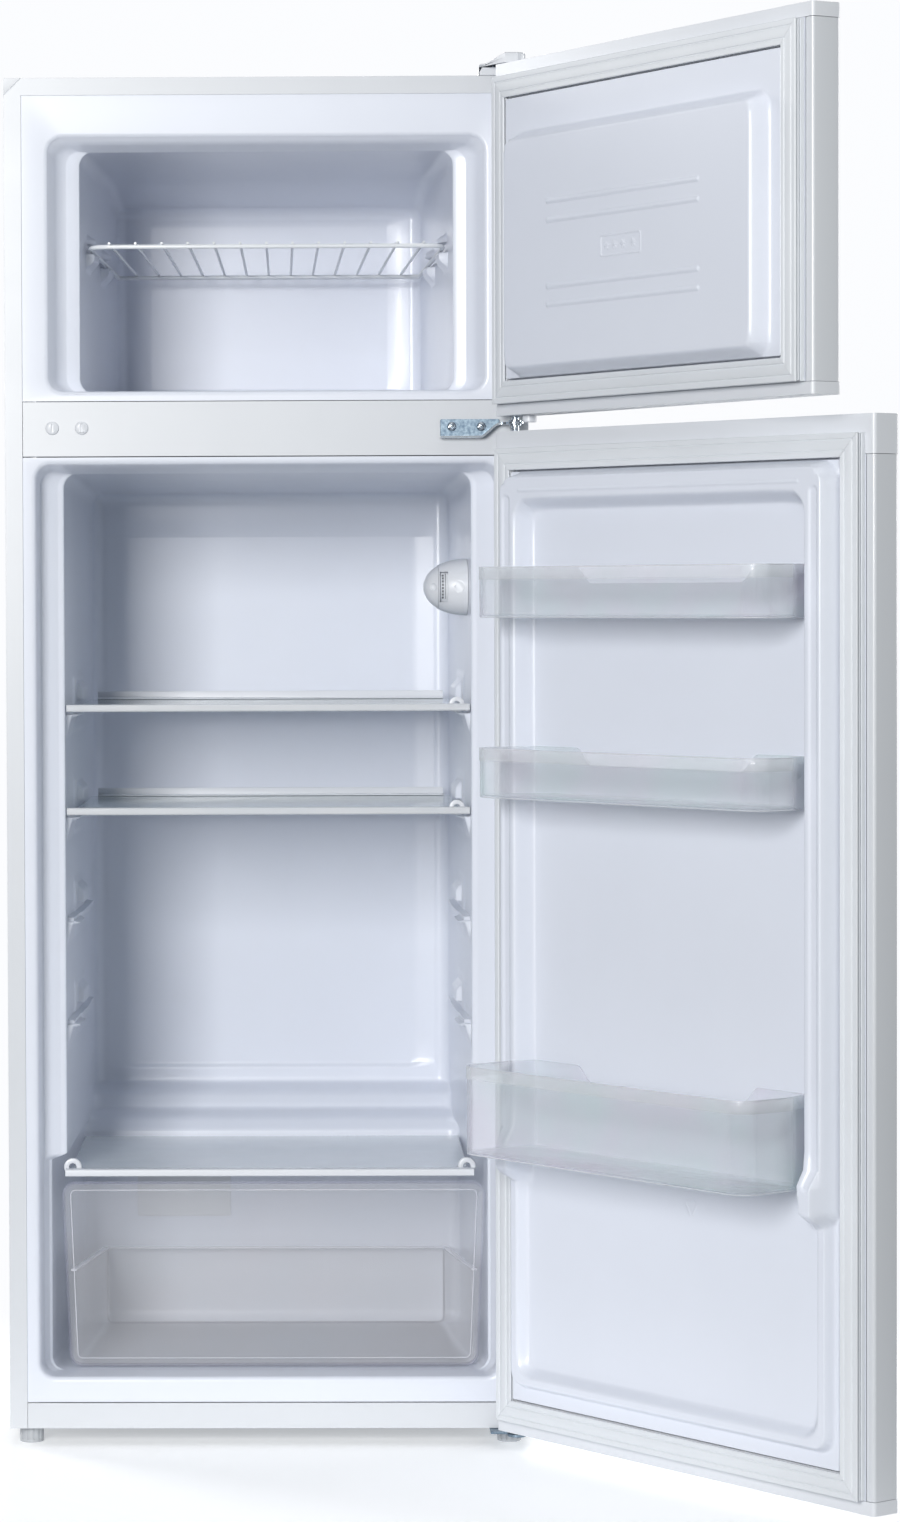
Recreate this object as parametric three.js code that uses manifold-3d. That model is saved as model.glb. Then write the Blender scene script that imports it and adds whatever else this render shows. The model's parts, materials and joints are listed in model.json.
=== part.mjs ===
// Top freezer refrigerator with both doors open, in millimetres.
// +Z is up, the open front faces -Y and the hinges are on the +X side.
import * as THREE from 'three';
import { mergeVertices } from 'three/addons/utils/BufferGeometryUtils.js';
import Module from 'manifold-3d';

const wasm = await Module();
wasm.setup();

// Overall sizes
const WIDTH = 540;
const BODY_DEPTH = 490;
const BODY_HEIGHT = 1398;
const FOOT_HEIGHT = 17;
const FREEZER_DOOR_OPEN = 120;
const FRIDGE_DOOR_OPEN = 128;

// Sheets and clearances
const SHEET = 1;
const LINER = 1.5;
const GAP = 0.3;
const REACH = 2; // how far a cutter passes the face it cuts
const HALF = WIDTH / 2;
const BASE = FOOT_HEIGHT;
const TOP = BASE + BODY_HEIGHT;

// Front frame of the cabinet
const FLANGE = 18;
const KICK_TOP = BASE + 26.8;
const MULLION_LOW = BASE + 1008;
const MULLION_HIGH = BASE + 1065;
const MULLION_MID = (MULLION_LOW + MULLION_HIGH) / 2 + 1;
const LINER_FACE = SHEET + GAP;
const LINER_LAP = 9; // how far a liner's edge runs behind the steel flange

// Freezer compartment
const FREEZER_FLOOR = MULLION_HIGH + 10.6;
const FREEZER_MOUTH = { half: HALF - 45.7, low: FREEZER_FLOOR, high: TOP - 62, corner: 15 };
const FREEZER_RECESS = 35;
const FREEZER_INNER = { half: HALF - 76, low: FREEZER_FLOOR, high: TOP - 73.5, corner: 13 };
const FREEZER_REAR = { half: HALF - 100, low: FREEZER_FLOOR + 4, high: TOP - 91 };
const FREEZER_BACK = BODY_DEPTH - 84;

// Fridge compartment
const FRIDGE_MOUTH = { half: HALF - 31.6, low: BASE + 53.4, high: BASE + 999.5, corner: 14 };
const FRIDGE_STEP = 42;
const STEP_DRAFT = 5;
const SHELF_WALL = HALF - 58;
const FRIDGE_BACK = BODY_DEPTH - 55;
const REAR_WALL = HALF - 69;
const CRISPER_WALL = HALF - 42;
const ZONE_SPLIT = BASE + 277;
const HUMP_TOP = BASE + 291;
const HUMP_FACE = BODY_DEPTH - 145;

// Shelves
const SHELF_LEVELS = [BASE + 749, BASE + 641, BASE + 531, BASE + 423];
const SHELF_FRONT = FRIDGE_STEP + 6;
const SHELF_REAR_ROOM = 77; // between a shelf's back edge and the rear wall
const SHELF_DEPTH = FRIDGE_BACK - SHELF_REAR_ROOM - SHELF_FRONT;
const GLASS = 4;
const TRIM_HEIGHT = 7.5;
const TRIM_DEPTH = 11;
const COVER_LEVEL = BASE + 262;

// Doors, modelled shut in front of the cabinet and then turned about the pins
const DOOR_GAP = 12;
const DOOR_THICK = 33;
const PIN_INSET = 15;
const PIN_BACK = 15;
const PIN_RADIUS = 4;
const PIN_CLEARANCE = 0.25;
const PIN_X = HALF - PIN_INSET;
const PIN_Y = -(DOOR_GAP + PIN_BACK);
const FREEZER_DOOR = {
  low: BASE + 1047,
  high: BASE + 1406,
  capLow: 11.5,
  capHigh: 13.6,
  gasketLow: 0,
  gasketHigh: 3,
};
const FRIDGE_DOOR = {
  low: BASE + 3,
  high: BASE + 1031,
  capLow: 13,
  capHigh: 37.4,
  gasketLow: 2,
  gasketHigh: 6,
};
const GASKET_EDGE = 11.5;
const GASKET_WIDTH = 23;
const GASKET_HIGH = 11.3;

// Cabinet body
const STUD_RADIUS = 4;
const FOOT_X = HALF - 21;
const FOOT_FRONT = 24;
const FOOT_REAR = BODY_DEPTH - 34;
const PLATE_LOW = BASE + 2;
const PLATE_THICK = 1.5;
const BAY_ROOF = HUMP_TOP - 30;
const SCREW_OFFSETS = [HALF - 79.2, HALF - 48.8];
const SCREW_HOLE = 3.2;

// Liners
const WIRE_FRONT = 62;
const WIRE_REAR = FREEZER_BACK - 34;
const WIRE_HIGH = BASE + 1229;
const WIRE_LOW = BASE + 1219;
const ROD = 2.4;
const WIRE = 1.5;
const CRISPER_DRAFT = 20;
const CRISPER_REACH = 20; // how far the crisper space's cutter passes the hump's face
const HUMP_LINE = [
  [FRIDGE_BACK + 20, HUMP_TOP + 19],
  [FRIDGE_BACK - 22, HUMP_TOP + 16],
  [FRIDGE_BACK - 34, HUMP_TOP + 11],
  [FRIDGE_BACK - 42, HUMP_TOP + 2],
  [FRIDGE_BACK - 46, HUMP_TOP - 5],
  [FRIDGE_BACK - 66, HUMP_TOP - 8],
  [FRIDGE_BACK - 76, HUMP_TOP - 11],
  [FRIDGE_BACK - 83, HUMP_TOP - 17],
  [HUMP_FACE, HUMP_TOP - 23],
];
const LEDGE = 7;
const HOUSING_Y = 108;
const HOUSING_Z = BASE + 872.5;

// Freezer shelf
const WIRE_COUNT = 13;

// Thermostat
const HOUSING_RADIUS = 30;
const HOUSING_REACH = 45;
const HOUSING_WALL = SHELF_WALL - 3;
const KNOB_PART = 29.5; // where the knob ends, from the housing's wide end
const DIAL_RADIUS = 19.5;
const STRETCH = 46;

// Crisper
const DRAWER_SHIFT = 4;
const DRAWER_FRONT = 58;
const DRAWER_BACK = HUMP_FACE - 18;
const DRAWER_LOW = FRIDGE_MOUTH.low + 1;
const DRAWER_TOP = BASE + 249;
const DRAWER_WALL = 2.4;
const DRAWER_LIP = 9;

// Door faces and linings, with the doors shut
const FACE = -DOOR_GAP;
const SKIN = FACE - DOOR_THICK;
const SHELL_INSET = 0.6;
const PLINTH = 9.5;
const FREEZER_PAD = HALF - 49;
const DIKE_HALF = HALF - 36;
const TRAY_HALF = HALF - 63;
const DIKE = 28;
const LOW_DIKE = 8;
const PANEL = -2;
const DIKE_END = ZONE_SPLIT - 14;
const BIN_HALF = TRAY_HALF - 3.5;
const BIN_CORNER = 20;
const BIN_WALL = 2;
const BIN_BAND = 13;

// Hinges
const ARM = 2.5;
const COVER_HIGH = 19;
const BRACKET = 2.6;

// Feet and machinery
const COMPRESSOR_X = -60;
const COMPRESSOR_Y = HUMP_FACE + 76;
const COIL_Y = BODY_DEPTH + 14;
const COIL_HALF = HALF - 36;
const COIL_ROWS = 10;

function solidOf(source) {
  const geometry = source.clone();
  geometry.deleteAttribute('normal');
  geometry.deleteAttribute('uv');
  const merged = mergeVertices(geometry, 1e-4);
  const mesh = new wasm.Mesh({
    numProp: 3,
    vertProperties: Float32Array.from(merged.attributes.position.array),
    triVerts: Uint32Array.from(merged.index.array),
  });
  return new wasm.Manifold(mesh);
}

function join(solids) {
  return solids.reduce((sum, solid) => sum.add(solid));
}

function cut(solid, cutters) {
  return cutters.reduce((rest, cutter) => rest.subtract(cutter), solid);
}

function block(x0, x1, y0, y1, z0, z1) {
  const geometry = new THREE.BoxGeometry(x1 - x0, y1 - y0, z1 - z0);
  geometry.translate((x0 + x1) / 2, (y0 + y1) / 2, (z0 + z1) / 2);
  return solidOf(geometry);
}

// A block centred on x = 0
function slab(half, y0, y1, z0, z1) {
  return block(-half, half, y0, y1, z0, z1);
}

function roundedShape(x0, x1, y0, y1, radius) {
  const shape = new THREE.Shape();
  shape.moveTo(x0 + radius, y0);
  shape.lineTo(x1 - radius, y0);
  shape.absarc(x1 - radius, y0 + radius, radius, -Math.PI / 2, 0);
  shape.lineTo(x1, y1 - radius);
  shape.absarc(x1 - radius, y1 - radius, radius, 0, Math.PI / 2);
  shape.lineTo(x0 + radius, y1);
  shape.absarc(x0 + radius, y1 - radius, radius, Math.PI / 2, Math.PI);
  shape.lineTo(x0, y0 + radius);
  shape.absarc(x0 + radius, y0 + radius, radius, Math.PI, Math.PI * 1.5);
  return shape;
}

function polygonShape(points) {
  return new THREE.Shape(points.map(([a, b]) => new THREE.Vector2(a, b)));
}

function extrude(shape, depth, segments) {
  return new THREE.ExtrudeGeometry(shape, { depth, bevelEnabled: false, curveSegments: segments });
}

// The shape's axes become world X and Z
function prismY(shape, y0, y1, segments = 5) {
  const geometry = extrude(shape, y1 - y0, segments);
  geometry.rotateX(Math.PI / 2);
  geometry.translate(0, y1, 0);
  return solidOf(geometry);
}

function prismZ(shape, z0, z1, segments = 5) {
  const geometry = extrude(shape, z1 - z0, segments);
  geometry.translate(0, 0, z0);
  return solidOf(geometry);
}

// The shape's axes become world Y and Z
function prismX(shape, x0, x1, segments = 5) {
  const geometry = extrude(shape, x1 - x0, segments);
  const turn = new THREE.Matrix4().makeBasis(
    new THREE.Vector3(0, 1, 0),
    new THREE.Vector3(0, 0, 1),
    new THREE.Vector3(1, 0, 0),
  );
  geometry.applyMatrix4(turn);
  geometry.translate(x0, 0, 0);
  return solidOf(geometry);
}

// A rounded rectangle in X and Z that changes to another size as it runs along +Y
function taperY(near, far, y0, y1, segments = 5) {
  const shape = roundedShape(near.x0, near.x1, near.z0, near.z1, near.corner);
  const geometry = extrude(shape, y1 - y0, segments);
  geometry.rotateX(Math.PI / 2);
  geometry.translate(0, y1, 0);
  const position = geometry.attributes.position;
  const scaleX = (far.x1 - far.x0) / (near.x1 - near.x0);
  const scaleZ = (far.z1 - far.z0) / (near.z1 - near.z0);
  for (let i = 0; i < position.count; i += 1) {
    if (position.getY(i) > (y0 + y1) / 2) {
      position.setX(i, far.x0 + (position.getX(i) - near.x0) * scaleX);
      position.setZ(i, far.z0 + (position.getZ(i) - near.z0) * scaleZ);
    }
  }
  return solidOf(geometry);
}

function rect(half, low, high, corner, grow = 0) {
  return { x0: -half - grow, x1: half + grow, z0: low - grow, z1: high + grow, corner: corner + grow };
}

function cylinder(radius, from, to, segments = 24, endRadius = radius) {
  const a = new THREE.Vector3(...from);
  const b = new THREE.Vector3(...to);
  const along = b.clone().sub(a);
  const geometry = new THREE.CylinderGeometry(endRadius, radius, along.length(), segments);
  const up = new THREE.Vector3(0, 1, 0);
  const turn = new THREE.Quaternion().setFromUnitVectors(up, along.clone().normalize());
  geometry.applyQuaternion(turn);
  const middle = a.add(b).multiplyScalar(0.5);
  geometry.translate(middle.x, middle.y, middle.z);
  return solidOf(geometry);
}

// A round bar standing along Z
function upright(radius, x, y, z0, z1, segments = 24, endRadius = radius) {
  return cylinder(radius, [x, y, z0], [x, y, z1], segments, endRadius);
}

// A path through given points, sampled exactly at those points
class BentPath extends THREE.Curve {
  constructor(samples) {
    super();
    this.samples = samples;
  }

  getPointAt(share) {
    const place = share * (this.samples.length - 1);
    const index = Math.min(Math.floor(place), this.samples.length - 2);
    return this.samples[index].clone().lerp(this.samples[index + 1], place - index);
  }

  getPoint(share) {
    return this.getPointAt(share);
  }

  getTangentAt(share) {
    const index = Math.round(share * (this.samples.length - 1));
    const before = this.samples[Math.max(index - 1, 0)];
    const here = this.samples[index];
    const after = this.samples[Math.min(index + 1, this.samples.length - 1)];
    const arriving = here.clone().sub(before).normalize();
    const leaving = after.clone().sub(here).normalize();
    return arriving.add(leaving).normalize();
  }
}

// A round bar with a rounded bend at each inner corner
function bentRod(points, radius, sides, bend) {
  const corners = points.map((point) => new THREE.Vector3(...point));
  const samples = [corners[0]];
  for (let i = 1; i < corners.length - 1; i += 1) {
    const arriving = corners[i].distanceTo(corners[i - 1]);
    const leaving = corners[i].distanceTo(corners[i + 1]);
    const room = Math.min(arriving, leaving);
    const reach = Math.min(bend, room * 0.48);
    const before = corners[i].clone().add(corners[i - 1].clone().sub(corners[i]).setLength(reach));
    const after = corners[i].clone().add(corners[i + 1].clone().sub(corners[i]).setLength(reach));
    const arc = new THREE.QuadraticBezierCurve3(before, corners[i], after);
    samples.push(...arc.getPoints(3));
  }
  samples.push(corners[corners.length - 1]);
  const shape = new THREE.Shape();
  for (let i = 0; i < sides; i += 1) {
    const angle = ((i + 0.5) / sides) * Math.PI * 2;
    const point = [Math.cos(angle) * radius, Math.sin(angle) * radius];
    if (i === 0) {
      shape.moveTo(...point);
    } else {
      shape.lineTo(...point);
    }
  }
  shape.closePath();
  const path = new BentPath(samples);
  const options = { steps: samples.length - 1, extrudePath: path, bevelEnabled: false };
  return solidOf(new THREE.ExtrudeGeometry(shape, options));
}

// A frame: one rounded rectangle with another cut out of it, running along Y
function ringY(outer, inner, y0, y1, segments = 4) {
  const shape = roundedShape(outer.x0, outer.x1, outer.z0, outer.z1, outer.corner);
  const hole = roundedShape(inner.x0, inner.x1, inner.z0, inner.z1, inner.corner);
  const cutter = prismY(hole, y0 - REACH, y1 + REACH, segments);
  return prismY(shape, y0, y1, segments).subtract(cutter);
}

const looks = {
  whitePaint: { color: 0xe9edf1, roughness: 0.3 },
  whitePlastic: { color: 0xe6e9ee, roughness: 0.35 },
  linerPlastic: { color: 0xdfe4ec, roughness: 0.35 },
  greyPlastic: { color: 0xb9c0c8, roughness: 0.5 },
  gasketRubber: { color: 0xdde1e6, roughness: 0.6 },
  zincSteel: { color: 0x9fb0bd, roughness: 0.35, metalness: 0.9 },
  galvanised: { color: 0x9a9fa3, roughness: 0.5, metalness: 0.8 },
  blackSteel: { color: 0x202124, roughness: 0.5, metalness: 0.4 },
  copper: { color: 0xb4693c, roughness: 0.35, metalness: 0.9 },
  glass: { color: 0xdfeef0, roughness: 0.05, transparent: true, opacity: 0.45 },
  clearPlastic: { color: 0xe4e8f4, roughness: 0.1, transparent: true, opacity: 0.5 },
  coatedWire: { color: 0xeceff2, roughness: 0.4 },
  paper: { color: 0xd5d8da, roughness: 0.7 },
};

function meshOf(name, solid, look) {
  const { vertProperties, triVerts } = solid.getMesh();
  const shared = new THREE.BufferGeometry();
  shared.setAttribute('position', new THREE.BufferAttribute(Float32Array.from(vertProperties), 3));
  shared.setIndex(new THREE.BufferAttribute(Uint32Array.from(triVerts), 1));
  const geometry = shared.toNonIndexed();
  geometry.computeVertexNormals();
  const mesh = new THREE.Mesh(geometry, new THREE.MeshStandardMaterial(looks[look]));
  mesh.name = name;
  return mesh;
}

const cabinet = new THREE.Group();

function fit(name, solid, look, group = cabinet) {
  group.add(meshOf(name, solid, look));
}

// ---------------------------------------------------------------- cabinet body

function cabinetShell() {
  const outer = slab(HALF, 0, BODY_DEPTH, BASE, TOP);
  const inside = slab(HALF - SHEET, SHEET, BODY_DEPTH + REACH, BASE - REACH, TOP - SHEET);
  const window = slab(HALF - FLANGE, -REACH, SHEET + REACH, BASE - REACH, TOP - FLANGE);
  const mitres = [-1, 1].map((side) => {
    const seam = new THREE.BoxGeometry(FLANGE * 2, SHEET, 0.7);
    seam.rotateY(side * Math.PI / 4);
    seam.translate(side * (HALF - FLANGE / 2), 0, TOP - FLANGE / 2);
    return solidOf(seam);
  });
  return cut(outer, [inside, window, ...mitres]);
}

function backPanel() {
  const half = HALF - SHEET - GAP;
  const low = HUMP_TOP + GAP;
  const panel = slab(half, BODY_DEPTH - SHEET, BODY_DEPTH, low, TOP - SHEET - GAP);
  const ribs = [0.3, 0.5, 0.7].map((part) => {
    const z = low + (TOP - low) * part;
    return slab(COIL_HALF - 60, BODY_DEPTH - SHEET, BODY_DEPTH + 1.2, z - 5, z + 5);
  });
  return join([panel, ...ribs]);
}

function basePlate() {
  const half = HALF - SHEET - GAP;
  const front = SHEET + GAP + 0.5;
  const plate = slab(half, front, BODY_DEPTH - GAP, PLATE_LOW, PLATE_LOW + PLATE_THICK);
  const lips = [-1, 1].map((side) => {
    const x = side * (half - SHEET);
    return block(x - SHEET / 2, x + SHEET / 2, HUMP_FACE + 4, BODY_DEPTH - 3, PLATE_LOW, PLATE_LOW + 14);
  });
  const holes = [];
  for (const x of [-FOOT_X, FOOT_X]) {
    for (const y of [FOOT_FRONT, FOOT_REAR]) {
      holes.push(upright(STUD_RADIUS + GAP, x, y, PLATE_LOW - REACH, PLATE_LOW + PLATE_THICK + REACH, 20));
    }
  }
  return cut(join([plate, ...lips]), holes);
}

function compressorBulkhead() {
  const half = HALF - SHEET * 3 - GAP * 2;
  const foot = PLATE_LOW + PLATE_THICK + GAP;
  const profile = polygonShape([
    [HUMP_FACE + 3, foot],
    [HUMP_FACE + 3 + 16, foot],
    [HUMP_FACE + 3 + 16, foot + 1.2],
    [HUMP_FACE + 4.2, foot + 1.2],
    [HUMP_FACE + 4.2, BAY_ROOF - 1.2],
    [BODY_DEPTH - 1.6, HUMP_TOP - 1.2],
    [BODY_DEPTH - 1.6, HUMP_TOP],
    [HUMP_FACE + 3, BAY_ROOF],
  ]);
  return prismX(profile, -half, half);
}

function kickRail() {
  const half = HALF - FLANGE - GAP;
  const profile = polygonShape([
    [0, BASE],
    [1.2, BASE],
    [1.2, KICK_TOP - GAP - 1.2],
    [14, KICK_TOP - GAP - 1.2],
    [14, KICK_TOP - GAP],
    [0, KICK_TOP - GAP],
  ]);
  return prismX(profile, -half, half);
}

function mullionRail() {
  const half = HALF - FLANGE - GAP;
  const low = MULLION_LOW + GAP;
  const high = MULLION_HIGH - GAP;
  const profile = polygonShape([
    [0, low],
    [14, low],
    [14, low + 1.2],
    [1.2, low + 1.2],
    [1.2, high - 1.2],
    [14, high - 1.2],
    [14, high],
    [0, high],
  ]);
  const holes = SCREW_OFFSETS.flatMap((x) => [-x, x]).map((x) => (
    cylinder(SCREW_HOLE, [x, -REACH, MULLION_MID], [x, REACH * 2, MULLION_MID], 16)
  ));
  return cut(prismX(profile, -half, half), holes);
}

function screwPlug(x) {
  const y = -GAP;
  const head = cylinder(7, [x, y, MULLION_MID], [x, y - 1.6, MULLION_MID], 16, 6.6);
  const crown = cylinder(6.6, [x, y - 1.6, MULLION_MID], [x, y - 2.6, MULLION_MID], 16, 4.6);
  const stem = cylinder(SCREW_HOLE - GAP, [x, y + 9, MULLION_MID], [x, y - 1, MULLION_MID], 12);
  const slot = block(x - 0.7, x + 0.7, y - 4, y - 1.7, MULLION_MID - 4.2, MULLION_MID + 4.2);
  return join([head, crown, stem]).subtract(slot);
}

// ---------------------------------------------------------------- liners

function linerFlange(low, high) {
  return slab(HALF - FLANGE + LINER_LAP, LINER_FACE, LINER_FACE + LINER, low, high);
}

function freezerHollow(grow, extra) {
  const mouth = FREEZER_MOUTH;
  const inner = FREEZER_INNER;
  const rear = FREEZER_REAR;
  const near = rect(mouth.half, mouth.low, mouth.high, mouth.corner, grow);
  const step = rect(mouth.half - 5, mouth.low, mouth.high - 3, mouth.corner, grow);
  const throat = rect(inner.half, inner.low, inner.high, inner.corner, grow);
  const back = rect(rear.half, rear.low, rear.high, inner.corner, grow);
  const front = LINER_FACE - extra;
  const recess = taperY(near, step, front, FREEZER_RECESS + grow, 4);
  const cave = taperY(throat, back, FREEZER_RECESS - REACH, FREEZER_BACK + grow, 4);
  return recess.add(cave);
}

function wireLevel(y) {
  return WIRE_HIGH + (WIRE_LOW - WIRE_HIGH) * (y - WIRE_FRONT) / (WIRE_REAR - WIRE_FRONT);
}

function freezerHalfAt(y) {
  const share = (y - FREEZER_RECESS) / (FREEZER_BACK - FREEZER_RECESS);
  return FREEZER_INNER.half + (FREEZER_REAR.half - FREEZER_INNER.half) * share;
}

function fridgeHalfAt(y) {
  const share = (y - FRIDGE_STEP) / (FRIDGE_BACK - FRIDGE_STEP);
  return SHELF_WALL + (REAR_WALL - SHELF_WALL) * share;
}

function crisperHalfAt(y) {
  const start = FRIDGE_STEP - REACH;
  const share = (y - start) / (HUMP_FACE + CRISPER_REACH - start);
  return CRISPER_WALL - CRISPER_DRAFT * share;
}

// A moulded ledge on a side wall, with its top face sloping with what lies on it
function sideLedge(side, y0, y1, top, width, deep, halfAt) {
  const x = side * (halfAt((y0 + y1) / 2) + 4);
  const inner = side * (halfAt(y1) - width);
  return block(Math.min(x, inner), Math.max(x, inner), y0, y1, top - deep, top);
}

function freezerLiner() {
  const shell = linerFlange(MULLION_HIGH + GAP, TOP - FLANGE + LINER_LAP).add(freezerHollow(LINER, 0));
  const ledges = [-1, 1].flatMap((side) => [WIRE_FRONT + 30, WIRE_REAR - 140].map((y) => {
    const low = wireLevel(y + 46) - ROD - GAP;
    return sideLedge(side, y, y + 46, low, 9, 20, freezerHalfAt);
  }));
  const hollow = freezerHollow(0, REACH);
  return cut(shell, [hollow]).add(join(ledges).intersect(freezerHollow(LINER / 2, 0)));
}

function humpSolid(grow) {
  const line = HUMP_LINE.map(([y, z]) => [y - 0.7 * grow, z + 0.7 * grow]);
  line[line.length - 1] = [HUMP_FACE - grow, HUMP_LINE[HUMP_LINE.length - 1][1]];
  const profile = polygonShape([
    ...line,
    [HUMP_FACE - grow, 0],
    [FRIDGE_BACK + 20, 0],
  ]);
  return prismX(profile, -HALF, HALF);
}

function fridgeHollow(grow, extra) {
  const mouth = FRIDGE_MOUTH;
  const near = rect(mouth.half, mouth.low, mouth.high, mouth.corner, grow);
  const step = rect(mouth.half - STEP_DRAFT, mouth.low, mouth.high - 2, mouth.corner, grow);
  const front = taperY(near, step, LINER_FACE - extra, FRIDGE_STEP + grow, 4);
  const upNear = rect(SHELF_WALL, ZONE_SPLIT, mouth.high - 8, 12, grow);
  const upFar = rect(REAR_WALL, ZONE_SPLIT, mouth.high - 20, 12, grow);
  const upper = taperY(upNear, upFar, FRIDGE_STEP - REACH, FRIDGE_BACK + grow, 3);
  const lowNear = rect(CRISPER_WALL, mouth.low, ZONE_SPLIT + 24, 10, grow);
  const lowFar = rect(CRISPER_WALL - CRISPER_DRAFT, mouth.low, ZONE_SPLIT + 24, 10, grow);
  const lower = taperY(lowNear, lowFar, FRIDGE_STEP - REACH, HUMP_FACE + CRISPER_REACH, 3);
  const caves = cut(upper.add(lower), [humpSolid(-grow)]);
  return front.add(caves);
}

function shelfLugs(side) {
  const pieces = [];
  for (const level of SHELF_LEVELS) {
    const ledgeTop = level - GLASS - GAP;
    const back = SHELF_FRONT + SHELF_DEPTH;
    pieces.push(sideLedge(side, SHELF_FRONT + 22, back - 30, ledgeTop, LEDGE, 5, fridgeHalfAt));
    pieces.push(sideLedge(side, back - 24, back + 10, level + 22, LEDGE + 1, 10, fridgeHalfAt));
  }
  return pieces;
}

function rearPanelRelief() {
  const low = HUMP_TOP + 34;
  const high = FRIDGE_MOUTH.high - 60;
  const near = rect(REAR_WALL - 26, low, high, 18);
  const far = rect(REAR_WALL - 30, low + 4, high - 4, 16);
  return taperY(near, far, FRIDGE_BACK - REACH, FRIDGE_BACK + 3, 4);
}

function fridgeLiner() {
  const low = KICK_TOP + GAP;
  const high = MULLION_LOW - GAP;
  const relief = rearPanelRelief();
  const rear = FRIDGE_BACK + 3 + LINER;
  const backing = slab(REAR_WALL - 10, FRIDGE_BACK, rear, HUMP_TOP + 24, FRIDGE_MOUTH.high - 50);
  const shell = join([linerFlange(low, high), fridgeHollow(LINER, 0), backing]);
  const ledges = join([-1, 1].flatMap((side) => shelfLugs(side)));
  const open = cut(shell, [fridgeHollow(0, REACH), relief]);
  return open.add(ledges.intersect(fridgeHollow(LINER / 2, 0)));
}

// ---------------------------------------------------------------- freezer shelf

function wireShelf() {
  const frontHalf = freezerHalfAt(WIRE_FRONT) - 6;
  const rearHalf = freezerHalfAt(WIRE_REAR) - 5;
  const frame = bentRod([
    [-rearHalf, WIRE_REAR, WIRE_LOW],
    [-frontHalf, WIRE_FRONT, WIRE_HIGH],
    [frontHalf, WIRE_FRONT, WIRE_HIGH],
    [rearHalf, WIRE_REAR, WIRE_LOW],
  ], ROD, 8, 22);
  const rear = cylinder(ROD, [-rearHalf - 1, WIRE_REAR - 4, wireLevel(WIRE_REAR - 4)],
    [rearHalf + 1, WIRE_REAR - 4, wireLevel(WIRE_REAR - 4)], 8);
  const pitch = (frontHalf * 2) / (WIRE_COUNT + 0.6);
  const wires = [];
  for (let i = 0; i < WIRE_COUNT; i += 1) {
    const x = (i - (WIRE_COUNT - 1) / 2) * pitch;
    const squeeze = rearHalf / frontHalf;
    const lift = ROD + WIRE * 0.6;
    const start = [x, WIRE_FRONT - 4, WIRE_HIGH + lift];
    const end = [x * squeeze, WIRE_REAR - 1, WIRE_LOW + lift];
    wires.push(cylinder(WIRE, start, end, 6));
  }
  return join([frame, rear, ...wires]);
}

// ---------------------------------------------------------------- fridge shelves

function shelfGlass(level, front, back, half) {
  return slab(half, front, back, level - GLASS, level);
}

function frontTrim(level, front, half) {
  const low = level - TRIM_HEIGHT + 1.8;
  const high = level + 1.8;
  const outline = roundedShape(front - 3, front + TRIM_DEPTH, low, high, 2);
  const rear = front + TRIM_DEPTH + REACH;
  const slotBlock = slab(half + REACH, front - GAP, rear, level - GLASS - GAP, level + GAP);
  return prismX(outline, -half, half, 3).subtract(slotBlock);
}

function rearTrim(level, back, half) {
  const outline = polygonShape([
    [back - 8, level - GLASS - 2],
    [back + 2.5, level - GLASS - 2],
    [back + 2.5, level + 9],
    [back + GAP, level + 9],
    [back + GAP, level + 1.8],
    [back - 8, level + 1.8],
  ]);
  const slotBlock = slab(half + REACH, back - 8 - REACH, back + GAP, level - GLASS - GAP, level + GAP);
  return prismX(outline, -half, half).subtract(slotBlock);
}

// ---------------------------------------------------------------- thermostat

function domeAt(part, radius, reach) {
  return radius * Math.sqrt(1 - Math.min(1, (Math.max(part, 0) / reach) ** 2));
}

// A dome about an axis parallel to X, pointing towards -X
function dome(from, to, radius, reach, base, segments = 32, steps = 8) {
  const profile = [new THREE.Vector2(0, from)];
  if (from < 0) {
    profile.push(new THREE.Vector2(radius, from));
  }
  const start = Math.max(from, 0);
  for (let i = 0; i <= steps; i += 1) {
    const part = start + (to - start) * (i / steps);
    profile.push(new THREE.Vector2(domeAt(part, radius, reach), part));
  }
  profile.push(new THREE.Vector2(0, to));
  const geometry = new THREE.LatheGeometry(profile, segments);
  geometry.rotateZ(Math.PI / 2);
  geometry.translate(base, 0, 0);
  return geometry;
}

// The dome's middle is drawn out along Y between two round ends
function domeMiddle(base, steps) {
  const pieces = [];
  const reach = KNOB_PART - GAP;
  for (let i = -1; i < steps; i += 1) {
    const part = i < 0 ? -8 : reach * i / steps;
    const next = reach * (i + 1) / steps;
    const wide = domeAt(part, HOUSING_RADIUS, HOUSING_REACH);
    const narrow = domeAt(next, HOUSING_RADIUS, HOUSING_REACH);
    const wedge = new THREE.BoxGeometry(next - part, STRETCH, 2);
    const position = wedge.attributes.position;
    for (let k = 0; k < position.count; k += 1) {
      const r = position.getX(k) < 0 ? narrow : wide;
      position.setZ(k, Math.sign(position.getZ(k)) * r);
    }
    wedge.translate(base - (part + next) / 2, HOUSING_Y + STRETCH / 2, HOUSING_Z);
    pieces.push(solidOf(wedge));
  }
  return pieces;
}

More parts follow.
